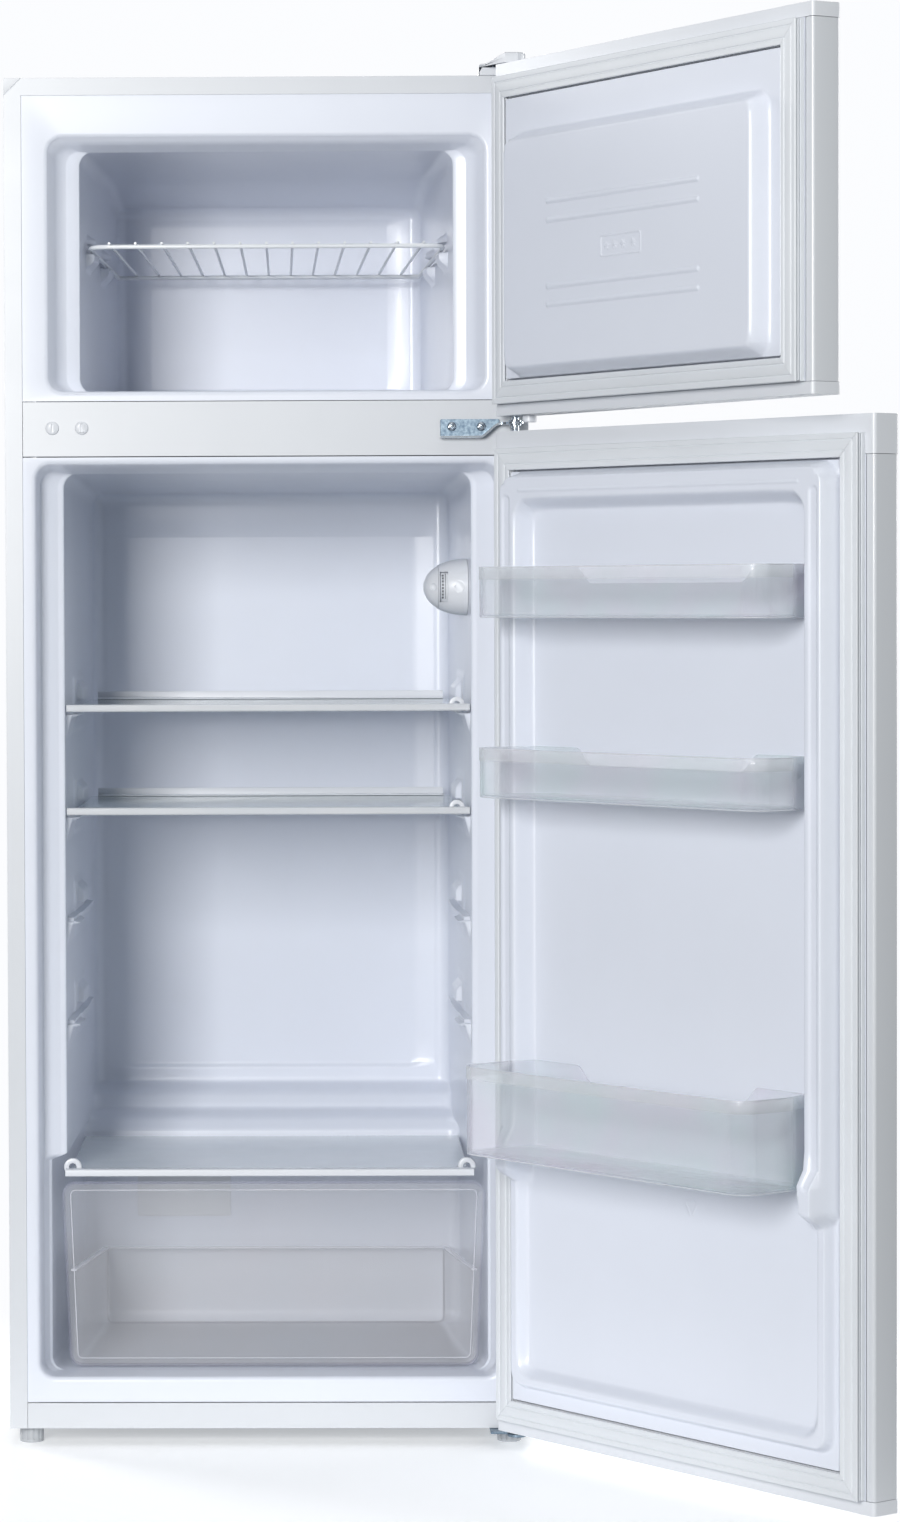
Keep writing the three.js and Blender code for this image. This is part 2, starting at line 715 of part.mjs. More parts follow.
function thermostatHousing() {
  const base = HOUSING_WALL;
  const steps = 6;
  const ends = [0, STRETCH].map((shift) => {
    const end = dome(-8, KNOB_PART - GAP, HOUSING_RADIUS, HOUSING_REACH, base, 24, steps);
    return solidOf(end.translate(0, HOUSING_Y + shift, HOUSING_Z));
  });
  const body = join([...ends, ...domeMiddle(base, steps)]).intersect(fridgeHollow(-GAP, 0));
  const bore = cylinder(DIAL_RADIUS + 0.5, [base - KNOB_PART - REACH, HOUSING_Y, HOUSING_Z],
    [base - 6, HOUSING_Y, HOUSING_Z], 24);
  const window = block(base - 28, base - 19.5, HOUSING_Y - 60, HOUSING_Y, HOUSING_Z - 16, HOUSING_Z + 16);
  const x = base - 8;
  const pointer = cylinder(5, [x, HOUSING_Y - 31.2, HOUSING_Z], [x, HOUSING_Y - 28.6, HOUSING_Z], 16);
  return cut(body, [bore, window, pointer]);
}

function thermostatKnob() {
  const cap = dome(KNOB_PART, HOUSING_REACH - 0.4, HOUSING_RADIUS, HOUSING_REACH, HOUSING_WALL, 24, 5);
  cap.translate(0, HOUSING_Y, HOUSING_Z);
  const drum = cylinder(DIAL_RADIUS, [HOUSING_WALL - KNOB_PART - 1, HOUSING_Y, HOUSING_Z],
    [HOUSING_WALL - 14, HOUSING_Y, HOUSING_Z], 24);
  const dimple = new THREE.SphereGeometry(5, 12, 6);
  dimple.translate(HOUSING_WALL - HOUSING_REACH + 9, HOUSING_Y - 20.5, HOUSING_Z);
  return join([solidOf(cap), drum]).subtract(solidOf(dimple));
}

// ---------------------------------------------------------------- crisper

function drawerPanel(inset, y0, y1) {
  const room = crisperHalfAt(DRAWER_FRONT + DRAWER_LIP) - DRAWER_SHIFT - GAP;
  const top = room - inset;
  const low = room - 7 - inset;
  const high = DRAWER_TOP - inset;
  const bottom = DRAWER_LOW + inset;
  const radius = 14 - inset / 2;
  const shape = new THREE.Shape();
  shape.moveTo(-low + radius, bottom);
  shape.lineTo(low - radius, bottom);
  shape.quadraticCurveTo(low, bottom, low + 0.5, bottom + radius);
  shape.lineTo(top, high - radius);
  shape.quadraticCurveTo(top, high, top - radius, high);
  shape.lineTo(-top + radius, high);
  shape.quadraticCurveTo(-top, high, -top, high - radius);
  shape.lineTo(-low - 0.5, bottom + radius);
  shape.quadraticCurveTo(-low, bottom, -low + radius, bottom);
  return prismY(shape, y0, y1, 6).translate([DRAWER_SHIFT, 0, 0]);
}

function crisperDrawer() {
  const rimFront = BASE + 157;
  const rimBack = BASE + 140;
  const near = { x0: -HALF + 60, x1: HALF - 60, z0: DRAWER_LOW, z1: rimFront, corner: 6 };
  const far = { x0: -HALF + 82, x1: HALF - 82, z0: DRAWER_LOW, z1: rimBack, corner: 6 };
  const w = DRAWER_WALL;
  const nearIn = { x0: near.x0 + w, x1: near.x1 - w, z0: near.z0 + w, z1: near.z1 + 30, corner: 6 };
  const farIn = { x0: far.x0 + w, x1: far.x1 - w, z0: far.z0 + w, z1: far.z1 + 30, corner: 6 };
  const box = taperY(near, far, DRAWER_FRONT + w, DRAWER_BACK, 3);
  const rim = taperY(
    { x0: near.x0 - 3.5, x1: near.x1 + 3.5, z0: rimFront - 2.2, z1: rimFront, corner: 1 },
    { x0: far.x0 - 3.5, x1: far.x1 + 3.5, z0: rimBack - 2.2, z1: rimBack, corner: 1 },
    DRAWER_FRONT + w, DRAWER_BACK + 3.5, 2,
  );
  const hollow = taperY(nearIn, farIn, DRAWER_FRONT + w + GAP, DRAWER_BACK - w, 3);
  const tub = cut(box.add(rim), [hollow]).translate([DRAWER_SHIFT, 0, 0]);
  const panel = drawerPanel(0, DRAWER_FRONT, DRAWER_FRONT + w + 0.6);
  const lipRoom = drawerPanel(2.2, DRAWER_FRONT - REACH, DRAWER_FRONT + DRAWER_LIP * 2);
  const lip = drawerPanel(0, DRAWER_FRONT, DRAWER_FRONT + DRAWER_LIP).subtract(lipRoom);
  return join([panel, lip, tub]);
}

// ---------------------------------------------------------------- doors

function doorShell(door) {
  const half = HALF - SHELL_INSET;
  const low = door.low + door.capLow + GAP;
  const high = door.high - door.capHigh - GAP;
  const outline = roundedShape(-half, half, SKIN + SHELL_INSET, FACE - SHELL_INSET, 3.5);
  const front = SKIN + SHELL_INSET + SHEET;
  const bore = roundedShape(-half + SHEET, half - SHEET, front, FACE - SHELL_INSET - SHEET, 2.5);
  const inside = prismZ(bore, low - REACH, high + REACH, 3);
  const slot = slab(half - 10, FACE - 4, FACE + REACH, low - REACH, high + REACH);
  return cut(prismZ(outline, low, high, 3), [inside, slot]);
}

function pinHole(low, high) {
  return upright(PIN_RADIUS + PIN_CLEARANCE, PIN_X, PIN_Y, low, high);
}

// An end cap: a shallow moulded tray whose open side faces the door's inside
function doorCap(low, high, openUp, pinLow, pinHigh) {
  const wall = 2.2;
  const outline = roundedShape(-HALF, HALF, SKIN, FACE, 4);
  const pocketLow = openUp ? low + wall : low - REACH;
  const pocketHigh = openUp ? high + REACH : high - wall;
  const pocket = slab(HALF - wall, SKIN + wall, FACE - wall, pocketLow, pocketHigh);
  const bossLow = openUp ? low : low + GAP;
  const bossHigh = openUp ? high - GAP : high;
  const boss = upright(8, PIN_X, PIN_Y, bossLow, bossHigh, 20);
  const tray = prismZ(outline, low, high, 4).subtract(pocket);
  return cut(tray.add(boss), [pinHole(pinLow, pinHigh)]);
}

function doorGasket(door) {
  const edge = HALF - GASKET_EDGE;
  const low = door.low + GASKET_EDGE + door.gasketLow;
  const high = door.high - GASKET_EDGE - door.gasketHigh;
  const inner = rect(edge - GASKET_WIDTH, low + GASKET_WIDTH, high - GASKET_WIDTH, 1.5);
  const layers = [
    [0.3, GAP, 4.2],
    [3, 4, 5.6],
    [0.8, 5.4, 7.4],
    [3, 7.2, 8.6],
    [0, 8.4, GASKET_HIGH],
  ];
  return join(layers.map(([inset, y0, y1]) => {
    const outer = rect(edge - inset, low + inset, high - inset, 2);
    return ringY(outer, inner, FACE + y0, FACE + y1, 1);
  }));
}

function linerSheet(door) {
  const half = HALF - SHELL_INSET - 10 - GAP;
  const low = door.low + door.capLow + GAP;
  const high = door.high - door.capHigh - GAP;
  return { half, low, high };
}

// The gasket's base stands in a channel, and the liner rises inside it
function linerBase(door) {
  const sheet = linerSheet(door);
  const flat = slab(sheet.half, FACE - LINER, FACE, sheet.low, sheet.high);
  return flat;
}

function plinthRect(door, grow) {
  const half = HALF - GASKET_EDGE - GASKET_WIDTH - 0.8;
  const low = door.low + GASKET_EDGE + door.gasketLow + GASKET_WIDTH + 0.8;
  const high = door.high - GASKET_EDGE - door.gasketHigh - GASKET_WIDTH - 0.8;
  return rect(half, low, high, 2, grow);
}

function freezerDoorLiner() {
  const base = linerBase(FREEZER_DOOR);
  const plinth = plinthRect(FREEZER_DOOR, 0);
  const plinthIn = plinthRect(FREEZER_DOOR, -LINER);
  const padFoot = rect(FREEZER_PAD, BASE + 1084, BASE + 1331, 12);
  const padTop = rect(FREEZER_PAD - 12, BASE + 1092.5, BASE + 1320, 10);
  const footIn = rect(FREEZER_PAD, BASE + 1084, BASE + 1331, 12, -LINER);
  const topIn = rect(FREEZER_PAD - 12, BASE + 1092.5, BASE + 1320, 10, -LINER);
  const level = FACE + PLINTH;
  const solid = join([
    base,
    taperY(plinth, plinth, FACE - LINER, level, 2),
    taperY(padFoot, padTop, level - 0.5, 16, 4),
    ...freezerRibs(16),
  ]);
  const inside = join([
    taperY(plinthIn, plinthIn, FACE - LINER - REACH, level - LINER, 2),
    taperY(footIn, topIn, level - LINER - 0.5, 16 - LINER, 4),
  ]);
  return solid.subtract(inside);
}

function freezerRibs(face) {
  const ribs = [1254.5, 1235.5, 1170, 1152].map((z) => (
    taperY(rect(131, BASE + z - 3, BASE + z + 3, 2.8), rect(130, BASE + z - 1.6, BASE + z + 1.6, 1.4),
      face - 1, face + 1.4, 2)
  ));
  const markOuter = rect(35, BASE + 1192, BASE + 1214, 3);
  const markInner = rect(34, BASE + 1193, BASE + 1213, 2.4);
  const mark = ringY(markOuter, markInner, face - 1, face + 0.5, 2);
  return [...ribs, mark];
}

function fridgeDoorLiner() {
  const level = FACE + PLINTH;
  const base = linerBase(FRIDGE_DOOR);
  const plinth = plinthRect(FRIDGE_DOOR, 0);
  const plinthIn = plinthRect(FRIDGE_DOOR, -LINER);
  const high = BASE + 988.5;
  const upFoot = rect(DIKE_HALF, DIKE_END, high, 18);
  const upTop = rect(DIKE_HALF - 5, DIKE_END + 22, high - 5, 16);
  const upFootIn = rect(DIKE_HALF, DIKE_END, high, 18, -LINER);
  const upTopIn = rect(DIKE_HALF - 5, DIKE_END + 22, high - 5, 16, -LINER);
  const lowFoot = rect(DIKE_HALF - 6, BASE + 57, DIKE_END + 60, 16);
  const lowTop = rect(DIKE_HALF - 9, BASE + 60, DIKE_END + 60, 15);
  const lowFootIn = rect(DIKE_HALF - 6, BASE + 57, DIKE_END + 60, 16, -LINER);
  const lowTopIn = rect(DIKE_HALF - 9, BASE + 60, DIKE_END + 60, 15, -LINER);
  const trayTop = { half: TRAY_HALF, low: DIKE_END - 20, high: high - 26, corner: 16 };
  const trayFoot = { half: TRAY_HALF - 11, low: DIKE_END - 20, high: high - 40, corner: 14 };
  const trays = (grow) => join([
    taperY(
      rect(trayFoot.half, trayFoot.low, trayFoot.high, trayFoot.corner, grow),
      rect(trayTop.half, trayTop.low, trayTop.high, trayTop.corner, grow),
      PANEL - grow, DIKE + REACH, 5,
    ),
    taperY(
      rect(TRAY_HALF - 1, BASE + 77, DIKE_END - 6, 14, grow),
      rect(TRAY_HALF + 9, BASE + 68, DIKE_END - 2, 14, grow),
      PANEL - grow, LOW_DIKE + REACH, 5,
    ),
    prismY(chamferShape(grow), PANEL - grow, DIKE + REACH),
  ]);
  const outside = join([
    base,
    taperY(plinth, plinth, FACE - LINER, level, 2),
    taperY(upFoot, upTop, level - 0.5, DIKE, 5),
    taperY(lowFoot, lowTop, level - 0.5, LOW_DIKE, 5),
  ]);
  const hollow = join([
    taperY(plinthIn, plinthIn, FACE - LINER - REACH, level - LINER, 2),
    taperY(upFootIn, upTopIn, level - LINER - 0.5, DIKE - LINER, 5),
    taperY(lowFootIn, lowTopIn, level - LINER - 0.5, LOW_DIKE - LINER, 5),
  ]).subtract(trays(LINER));
  const grooves = [-1, 1].map((side) => {
    const x = side * (DIKE_HALF - 15);
    return taperY(
      { x0: x - 3.5, x1: x + 3.5, z0: DIKE_END + 44, z1: high - 26, corner: 3 },
      { x0: x - 6, x1: x + 6, z0: DIKE_END + 40, z1: high - 22, corner: 5 },
      DIKE - 1, DIKE + 1, 3,
    );
  });
  return cut(outside, [trays(0), hollow, ...grooves]);
}

// The deep side dikes end in slopes above the shallow lower frame
function chamferShape(grow) {
  const half = TRAY_HALF + grow;
  const wide = TRAY_HALF + 9 + grow;
  const low = DIKE_END - 12 - grow;
  return polygonShape([
    [-wide, low],
    [wide, low],
    [wide, DIKE_END + 2 + grow * 0.4],
    [half, DIKE_END + 24 + grow * 0.4],
    [half, DIKE_END + 60],
    [-half, DIKE_END + 60],
    [-half, DIKE_END + 24 + grow * 0.4],
    [-wide, DIKE_END + 2 + grow * 0.4],
  ]);
}

function binOutline(inset, front, grow = 0) {
  const back = PANEL + 2 + inset;
  const side = BIN_HALF - inset + grow;
  const rear = BIN_HALF - 9 - inset + grow;
  const radius = BIN_CORNER - inset;
  const centre = BIN_HALF - BIN_CORNER;
  const shape = new THREE.Shape();
  shape.moveTo(-rear, back);
  shape.lineTo(rear, back);
  shape.lineTo(side, DIKE);
  shape.lineTo(side, front - BIN_CORNER);
  shape.absarc(centre, front - BIN_CORNER, radius + grow, 0, Math.PI / 2);
  shape.lineTo(-centre, front - inset + grow);
  shape.absarc(-centre, front - BIN_CORNER, radius + grow, Math.PI / 2, Math.PI);
  shape.lineTo(-side, DIKE);
  shape.closePath();
  return shape;
}

// A door bin: open at the top, with a low back between two ears and a raised band round the rim
function doorBin(low, high, front) {
  const body = prismZ(binOutline(0, front), low, high, 5);
  const band = prismZ(binOutline(0, front, 0.7), high - BIN_BAND, high, 5);
  const bandRoom = slab(HALF, DIKE + 3, HALF, low, high + REACH);
  const inside = prismZ(binOutline(BIN_WALL, front), low + BIN_WALL, high + REACH, 5);
  const ear = BIN_HALF - 84;
  const dip = high - 17;
  const backCut = prismY(polygonShape([
    [-ear + 12, dip],
    [ear - 12, dip],
    [ear - 4, dip + 3],
    [ear + 4, high - 4],
    [ear + 12, high],
    [ear + 12, high + REACH],
    [-ear - 12, high + REACH],
    [-ear - 12, high],
    [-ear - 4, high - 4],
    [-ear + 4, dip + 3],
  ]), PANEL, PANEL + 2 + BIN_WALL + REACH);
  return cut(body.add(band.intersect(bandRoom)), [inside, backCut]);
}

// ---------------------------------------------------------------- hinges

function middleHinge() {
  const low = MULLION_MID - 12.2;
  const high = MULLION_MID + 7.6;
  const armLow = (FRIDGE_DOOR.high + FREEZER_DOOR.low) / 2 - ARM / 2 + 1;
  const plate = block(HALF - 91, HALF - 30, -GAP - ARM, -GAP, low, high);
  const flange = block(HALF - 91, HALF - 46, -11, -GAP - 1, low, low + ARM);
  const bend = prismY(polygonShape([
    [HALF - 50, low],
    [HALF - 44, low],
    [HALF - 30, armLow],
    [HALF - 18, armLow],
    [HALF - 18, armLow + ARM],
    [HALF - 31, armLow + ARM],
    [HALF - 46, low + ARM],
    [HALF - 50, low + ARM],
  ]), -11, -GAP - 1);
  const arm = join([
    block(HALF - 31, HALF - 6, -24, -GAP - 1, armLow, armLow + ARM),
    upright(9, PIN_X, PIN_Y, armLow, armLow + ARM),
  ]);
  const pin = upright(PIN_RADIUS, PIN_X, PIN_Y, FRIDGE_DOOR.high - 11, FREEZER_DOOR.low + 9);
  const collar = upright(6.5, PIN_X, PIN_Y, armLow - 1.6, armLow + ARM + 1.6, 20);
  const holes = SCREW_OFFSETS.map((x) => (
    cylinder(SCREW_HOLE, [x, -REACH * 3, MULLION_MID], [x, REACH, MULLION_MID], 16)
  ));
  return cut(join([plate, flange, bend, arm, pin, collar]), holes);
}

function crossHeadScrew(x, y, z, toward, length) {
  const head = cylinder(4.8, [x, y, z], [x, y + toward * 2.6, z], 20, 3.4);
  const shank = cylinder(SCREW_HOLE - GAP, [x, y + toward * 1, z], [x, y - toward * length, z], 12);
  const cross = join([
    block(x - 2.6, x + 2.6, y + toward * 2.6 - 1.3, y + toward * 2.6 + 1.3, z - 0.5, z + 0.5),
    block(x - 0.5, x + 0.5, y + toward * 2.6 - 1.3, y + toward * 2.6 + 1.3, z - 2.6, z + 2.6),
  ]);
  return head.add(shank).subtract(cross);
}

function topHinge() {
  const low = TOP + GAP;
  const armLow = FREEZER_DOOR.high + GAP * 2;
  const armHigh = armLow + ARM;
  const plate = block(HALF - 44, HALF - 8, 6, 46, low, low + ARM);
  const arm = prismZ(polygonShape([
    [PIN_X - 8, PIN_Y],
    [PIN_X + 8, PIN_Y],
    [HALF - 8, 8],
    [HALF - 36, 8],
  ]), armLow, armHigh);
  const riser = block(HALF - 36, HALF - 8, 6, 8.5, low, armHigh);
  const eye = upright(8, PIN_X, PIN_Y, armLow, armHigh);
  const pin = upright(PIN_RADIUS, PIN_X, PIN_Y, FREEZER_DOOR.high - 9, armHigh - GAP);
  return join([plate, arm, riser, eye, pin]);
}

function coverShape(inset) {
  return polygonShape([
    [HALF - 50 + inset, 51 - inset],
    [HALF - 50 + inset, -2 + inset],
    [PIN_X - 10 + inset, PIN_Y - 11 + inset],
    [PIN_X + 5, PIN_Y - 11 + inset],
    [PIN_X + 11 - inset, PIN_Y - 4],
    [HALF - 3 - inset, 0],
    [HALF - 3 - inset, 51 - inset],
  ]);
}

// The cover slopes down to its left and to its rear
function coverSlopes(drop) {
  const low = TOP - REACH;
  const high = TOP + GAP + COVER_HIGH - drop;
  const across = prismY(polygonShape([
    [HALF - 52 + drop, low],
    [HALF, low],
    [HALF, high],
    [HALF - 30, high],
    [HALF - 52 + drop, TOP + 5 - drop],
  ]), -HALF, HALF);
  const along = prismX(polygonShape([
    [PIN_Y - 20, low],
    [60, low],
    [60, TOP + 9 - drop],
    [20, high],
    [PIN_Y - 20, high],
  ]), 0, HALF + REACH);
  return across.intersect(along);
}

function topHingeCover() {
  const low = TOP + GAP;
  const shape = prismZ(coverShape(0), low, low + COVER_HIGH).intersect(coverSlopes(0));
  const inside = prismZ(coverShape(1.6), low - REACH, low + COVER_HIGH).intersect(coverSlopes(1.6));
  const doorRoom = block(0, HALF + REACH, SKIN - 20, GAP - SHEET, low - REACH, FREEZER_DOOR.high + GAP);
  return cut(shape, [inside, doorRoom]);
}

function bottomHinge() {
  const high = BASE - GAP;
  const plate = block(HALF - 42, HALF - 4, -18, 62, high - BRACKET, high);
  const eye = upright(10, PIN_X, PIN_Y, high - BRACKET, high);
  const neck = block(PIN_X - 10, PIN_X + 10, PIN_Y, -16, high - BRACKET, high);
  const pin = upright(PIN_RADIUS, PIN_X, PIN_Y, high - 1, FRIDGE_DOOR.low + 9);
  const studHole = upright(STUD_RADIUS + GAP, FOOT_X, FOOT_FRONT, high - 8, high + 2, 20);
  return cut(join([plate, eye, neck, pin]), [studHole]);
}

function doorStop() {
  const high = FREEZER_DOOR.low - GAP;
  const x = PIN_X - 27;
  return upright(7, x, PIN_Y, high - 7, high, 20);
}

// ---------------------------------------------------------------- feet and machinery

function foot(x, y, padHigh) {
  const pad = upright(12.4, x, y, 0, padHigh, 20);
  const flutes = [];
  const count = 12;
  for (let i = 0; i < count; i += 1) {
    const angle = ((i + 0.5) / count) * Math.PI * 2;
    const fx = x + Math.cos(angle) * 13;
    const fy = y + Math.sin(angle) * 13;
    flutes.push(upright(1.9, fx, fy, 3, padHigh + REACH, 4));
  }
  const stud = upright(STUD_RADIUS, x, y, padHigh - 1, PLATE_LOW + PLATE_THICK + 12, 16);
  return cut(pad, flutes).add(stud);
}

function compressor() {
  const floor = PLATE_LOW + PLATE_THICK + GAP;
  const profile = [
    [0, 22], [58, 22], [67, 32], [70, 50], [70, 92], [66, 112], [52, 128], [30, 135], [0, 137],
  ].map(([r, z]) => new THREE.Vector2(r, z));
  const can = new THREE.LatheGeometry(profile, 20);
  can.rotateX(Math.PI / 2);
  can.scale(1.18, 0.9, 1);
  can.translate(COMPRESSOR_X, COMPRESSOR_Y, floor);
  const seam = new THREE.CylinderGeometry(71.5, 71.5, 4, 20);
  seam.rotateX(Math.PI / 2);
  seam.scale(1.18, 0.9, 1);
  seam.translate(COMPRESSOR_X, COMPRESSOR_Y, floor + 78);
  const [x, y] = [COMPRESSOR_X, COMPRESSOR_Y];
  const saddle = block(x - 95, x + 95, y - 40, y + 40, floor + 14, floor + 17);
  const pedestal = upright(40, x, y, floor + 15, floor + 30);
  const mounts = [-82, 82].flatMap((dx) => [-28, 28].map((dy) => (
    upright(10, x + dx, y + dy, floor, floor + 15, 12)
  )));
  return join([solidOf(can), solidOf(seam), saddle, pedestal, ...mounts]);
}

function terminalBox() {
  const floor = PLATE_LOW + PLATE_THICK + GAP;
  const x = COMPRESSOR_X + 86;
  const box = block(x, x + 46, COMPRESSOR_Y - 28, COMPRESSOR_Y + 28, floor + 42, floor + 96);
  const inlet = (distance) => [x + 23, COMPRESSOR_Y + distance, floor + 58];
  const gland = cylinder(9, inlet(27), inlet(44), 20);
  const bore = cylinder(4.5, inlet(31), inlet(48), 16);
  return cut(box.add(gland), [bore]);
}

function condenser() {
  const low = HUMP_TOP + 60;
  const high = TOP - 90;
  const pitch = (high - low) / (COIL_ROWS - 1);
  const points = [];
  for (let i = 0; i < COIL_ROWS; i += 1) {
    const z = high - i * pitch;
    const side = i % 2 === 0 ? 1 : -1;
    points.push([-side * COIL_HALF, COIL_Y, z]);
    points.push([side * COIL_HALF, COIL_Y, z]);
  }
  const tube = bentRod(points, 2.4, 6, 24);
  const wires = [];
  const wireCount = 4;
  for (let i = 0; i < wireCount; i += 1) {
    const x = (i - (wireCount - 1) / 2) * ((COIL_HALF * 2 - 50) / (wireCount - 1));
    wires.push(upright(1, x, COIL_Y - 2.9, low - 14, high + 14, 5));
  }
  const brackets = [0, 1].flatMap((row) => [-1, 1].map((side) => {
    const z = row === 0 ? low + pitch * 2.5 : high - pitch * 2.5;
    const x = side * (COIL_HALF - 40);
    return block(x - 7, x + 7, BODY_DEPTH + GAP, COIL_Y - 2, z - 4, z + 4).add(
      block(x - 7, x + 7, COIL_Y - 4, COIL_Y - 2, z - pitch * 0.6, z + pitch * 0.6),
    );
  }));
  return join([tube, ...wires, ...brackets]);
}

function dripTray() {
  const floor = PLATE_LOW + PLATE_THICK + GAP;
  const top = floor + 158;
  const outer = taperZ(86, 58, 80, 52, 30);
  const inner = taperZ(84, 56, 78, 50, 30);
  outer.translate(COMPRESSOR_X, COMPRESSOR_Y, top);
  inner.translate(COMPRESSOR_X, COMPRESSOR_Y, top + 2);
  const [x, y] = [COMPRESSOR_X, COMPRESSOR_Y];
  const leg = block(x - 20, x + 20, y - 16, y + 16, floor + 137 + GAP + 1, top + 1);
  return solidOf(outer).subtract(solidOf(inner)).add(leg);
}

// A box that narrows downwards
function taperZ(halfX, halfY, lowX, lowY, height) {
  const geometry = new THREE.BoxGeometry(halfX * 2, halfY * 2, height);
  const position = geometry.attributes.position;
  for (let i = 0; i < position.count; i += 1) {
    if (position.getZ(i) < 0) {
      position.setX(i, Math.sign(position.getX(i)) * lowX);
      position.setY(i, Math.sign(position.getY(i)) * lowY);
    }
  }
  geometry.translate(0, 0, height / 2);
  return geometry;
}

function filterDrier() {
  const x = COMPRESSOR_X - 130;
  const z = PLATE_LOW + 96;
  const y = COMPRESSOR_Y + 10;
  const can = upright(8, x, y, z, z + 90, 20);
  const cone = upright(3, x, y, z - 12, z + 1, 20, 9);
  const low = upright(8, x, y, z - 12, z + 0.5, 20).intersect(cone);
  const tail = upright(2.4, x, y, z - 44, z - 10, 10);
  const neck = upright(2.4, x, y, z + 88, z + 118, 10);
  return join([can, low, tail, neck]);
}

function ratingLabel() {
  return block(-HALF + 120, -HALF + 224, HUMP_FACE - 1.2, HUMP_FACE - 0.4, BASE + 172, BASE + 236);
}

// ---------------------------------------------------------------- assembly

fit('cabinet_shell', cabinetShell(), 'whitePaint');
fit('back_panel', backPanel(), 'galvanised');
fit('base_plate', basePlate(), 'galvanised');
fit('compressor_bulkhead', compressorBulkhead(), 'galvanised');
fit('kick_rail', kickRail(), 'whitePaint');
fit('mullion_rail', mullionRail(), 'whitePaint');
SCREW_OFFSETS.forEach((x, i) => fit(`screw_plug_${i + 1}`, screwPlug(-x), 'whitePlastic'));
fit('freezer_liner', freezerLiner(), 'linerPlastic');
fit('fridge_liner', fridgeLiner(), 'linerPlastic');
fit('freezer_wire_shelf', wireShelf(), 'coatedWire');

const shelfNames = ['upper_shelf', 'lower_shelf'];
shelfNames.forEach((name, i) => {
  const level = SHELF_LEVELS[i];
  const back = SHELF_FRONT + SHELF_DEPTH;
  const half = fridgeHalfAt(back) - 2.5;
  fit(`${name}_glass`, shelfGlass(level, SHELF_FRONT, back, half), 'glass');
  const trimHalf = fridgeHalfAt(SHELF_FRONT + TRIM_DEPTH) - 1;
  fit(`${name}_front_trim`, frontTrim(level, SHELF_FRONT, trimHalf), 'clearPlastic');
  fit(`${name}_rear_trim`, rearTrim(level, back, half - LEDGE - 1), 'whitePlastic');
});

fit('thermostat_housing', thermostatHousing(), 'whitePlastic');
fit('thermostat_knob', thermostatKnob(), 'whitePlastic');

const coverHalf = CRISPER_WALL - 14;
fit('crisper_cover_glass', shelfGlass(COVER_LEVEL, SHELF_FRONT, HUMP_FACE - 6, coverHalf - 6), 'glass');
fit('crisper_cover_trim', frontTrim(COVER_LEVEL, SHELF_FRONT, coverHalf), 'whitePlastic');
fit('crisper_drawer', crisperDrawer(), 'clearPlastic');
fit('rating_label', ratingLabel(), 'paper');

fit('middle_hinge', middleHinge(), 'zincSteel');
SCREW_OFFSETS.forEach((x, i) => {
  fit(`middle_hinge_screw_${i + 1}`, crossHeadScrew(x, -ARM - GAP * 2, MULLION_MID, -1, 9), 'zincSteel');
});
fit('top_hinge', topHinge(), 'zincSteel');
fit('top_hinge_cover', topHingeCover(), 'whitePlastic');
fit('bottom_hinge', bottomHinge(), 'zincSteel');
fit('foot_front_left', foot(-FOOT_X, FOOT_FRONT, BASE - GAP), 'greyPlastic');
fit('foot_front_right', foot(FOOT_X, FOOT_FRONT, BASE - BRACKET - GAP * 3), 'greyPlastic');
fit('foot_rear_left', foot(-FOOT_X, FOOT_REAR, BASE - GAP), 'greyPlastic');
fit('foot_rear_right', foot(FOOT_X, FOOT_REAR, BASE - GAP), 'greyPlastic');
fit('compressor', compressor(), 'blackSteel');
fit('terminal_box', terminalBox(), 'greyPlastic');
fit('condenser', condenser(), 'blackSteel');
fit('drip_tray', dripTray(), 'greyPlastic');
fit('filter_drier', filterDrier(), 'copper');

function hungDoor(prefix, door, liner, extras, turn) {
  const leaf = new THREE.Group();
  const pieces = new THREE.Group();
  fit(`${prefix}_shell`, doorShell(door), 'whitePaint', pieces);
  const topPins = [door.high - 12, door.high + REACH];
  const lowPins = [door.low - REACH, door.low + 9.4];
  const topCap = doorCap(door.high - door.capHigh, door.high, false, ...topPins);
  const bottomCap = doorCap(door.low, door.low + door.capLow, true, ...lowPins);
  fit(`${prefix}_top_cap`, topCap, 'whitePlastic', pieces);
  fit(`${prefix}_bottom_cap`, bottomCap, 'whitePlastic', pieces);
  fit(`${prefix}_liner`, liner, 'linerPlastic', pieces);
  fit(`${prefix}_gasket`, doorGasket(door), 'gasketRubber', pieces);
  extras.forEach(([name, solid, look]) => fit(name, solid, look, pieces));
  pieces.position.set(-PIN_X, -PIN_Y, 0);
  leaf.add(pieces);
  leaf.position.set(PIN_X, PIN_Y, 0);
  leaf.rotation.z = THREE.MathUtils.degToRad(turn);
  return leaf;
}

const bins = [
  ['door_bin_1', doorBin(BASE + 841, BASE + 892, 76), 'clearPlastic'],
  ['door_bin_2', doorBin(BASE + 661, BASE + 711, 76), 'clearPlastic'],
  ['door_bin_3', doorBin(BASE + 304, BASE + 393, 94), 'clearPlastic'],
];
const object = new THREE.Group();
object.add(cabinet);
object.add(hungDoor('freezer_door', FREEZER_DOOR, freezerDoorLiner(),
  [['door_stop', doorStop(), 'whitePlastic']], FREEZER_DOOR_OPEN));
object.add(hungDoor('fridge_door', FRIDGE_DOOR, fridgeDoorLiner(), bins, FRIDGE_DOOR_OPEN));

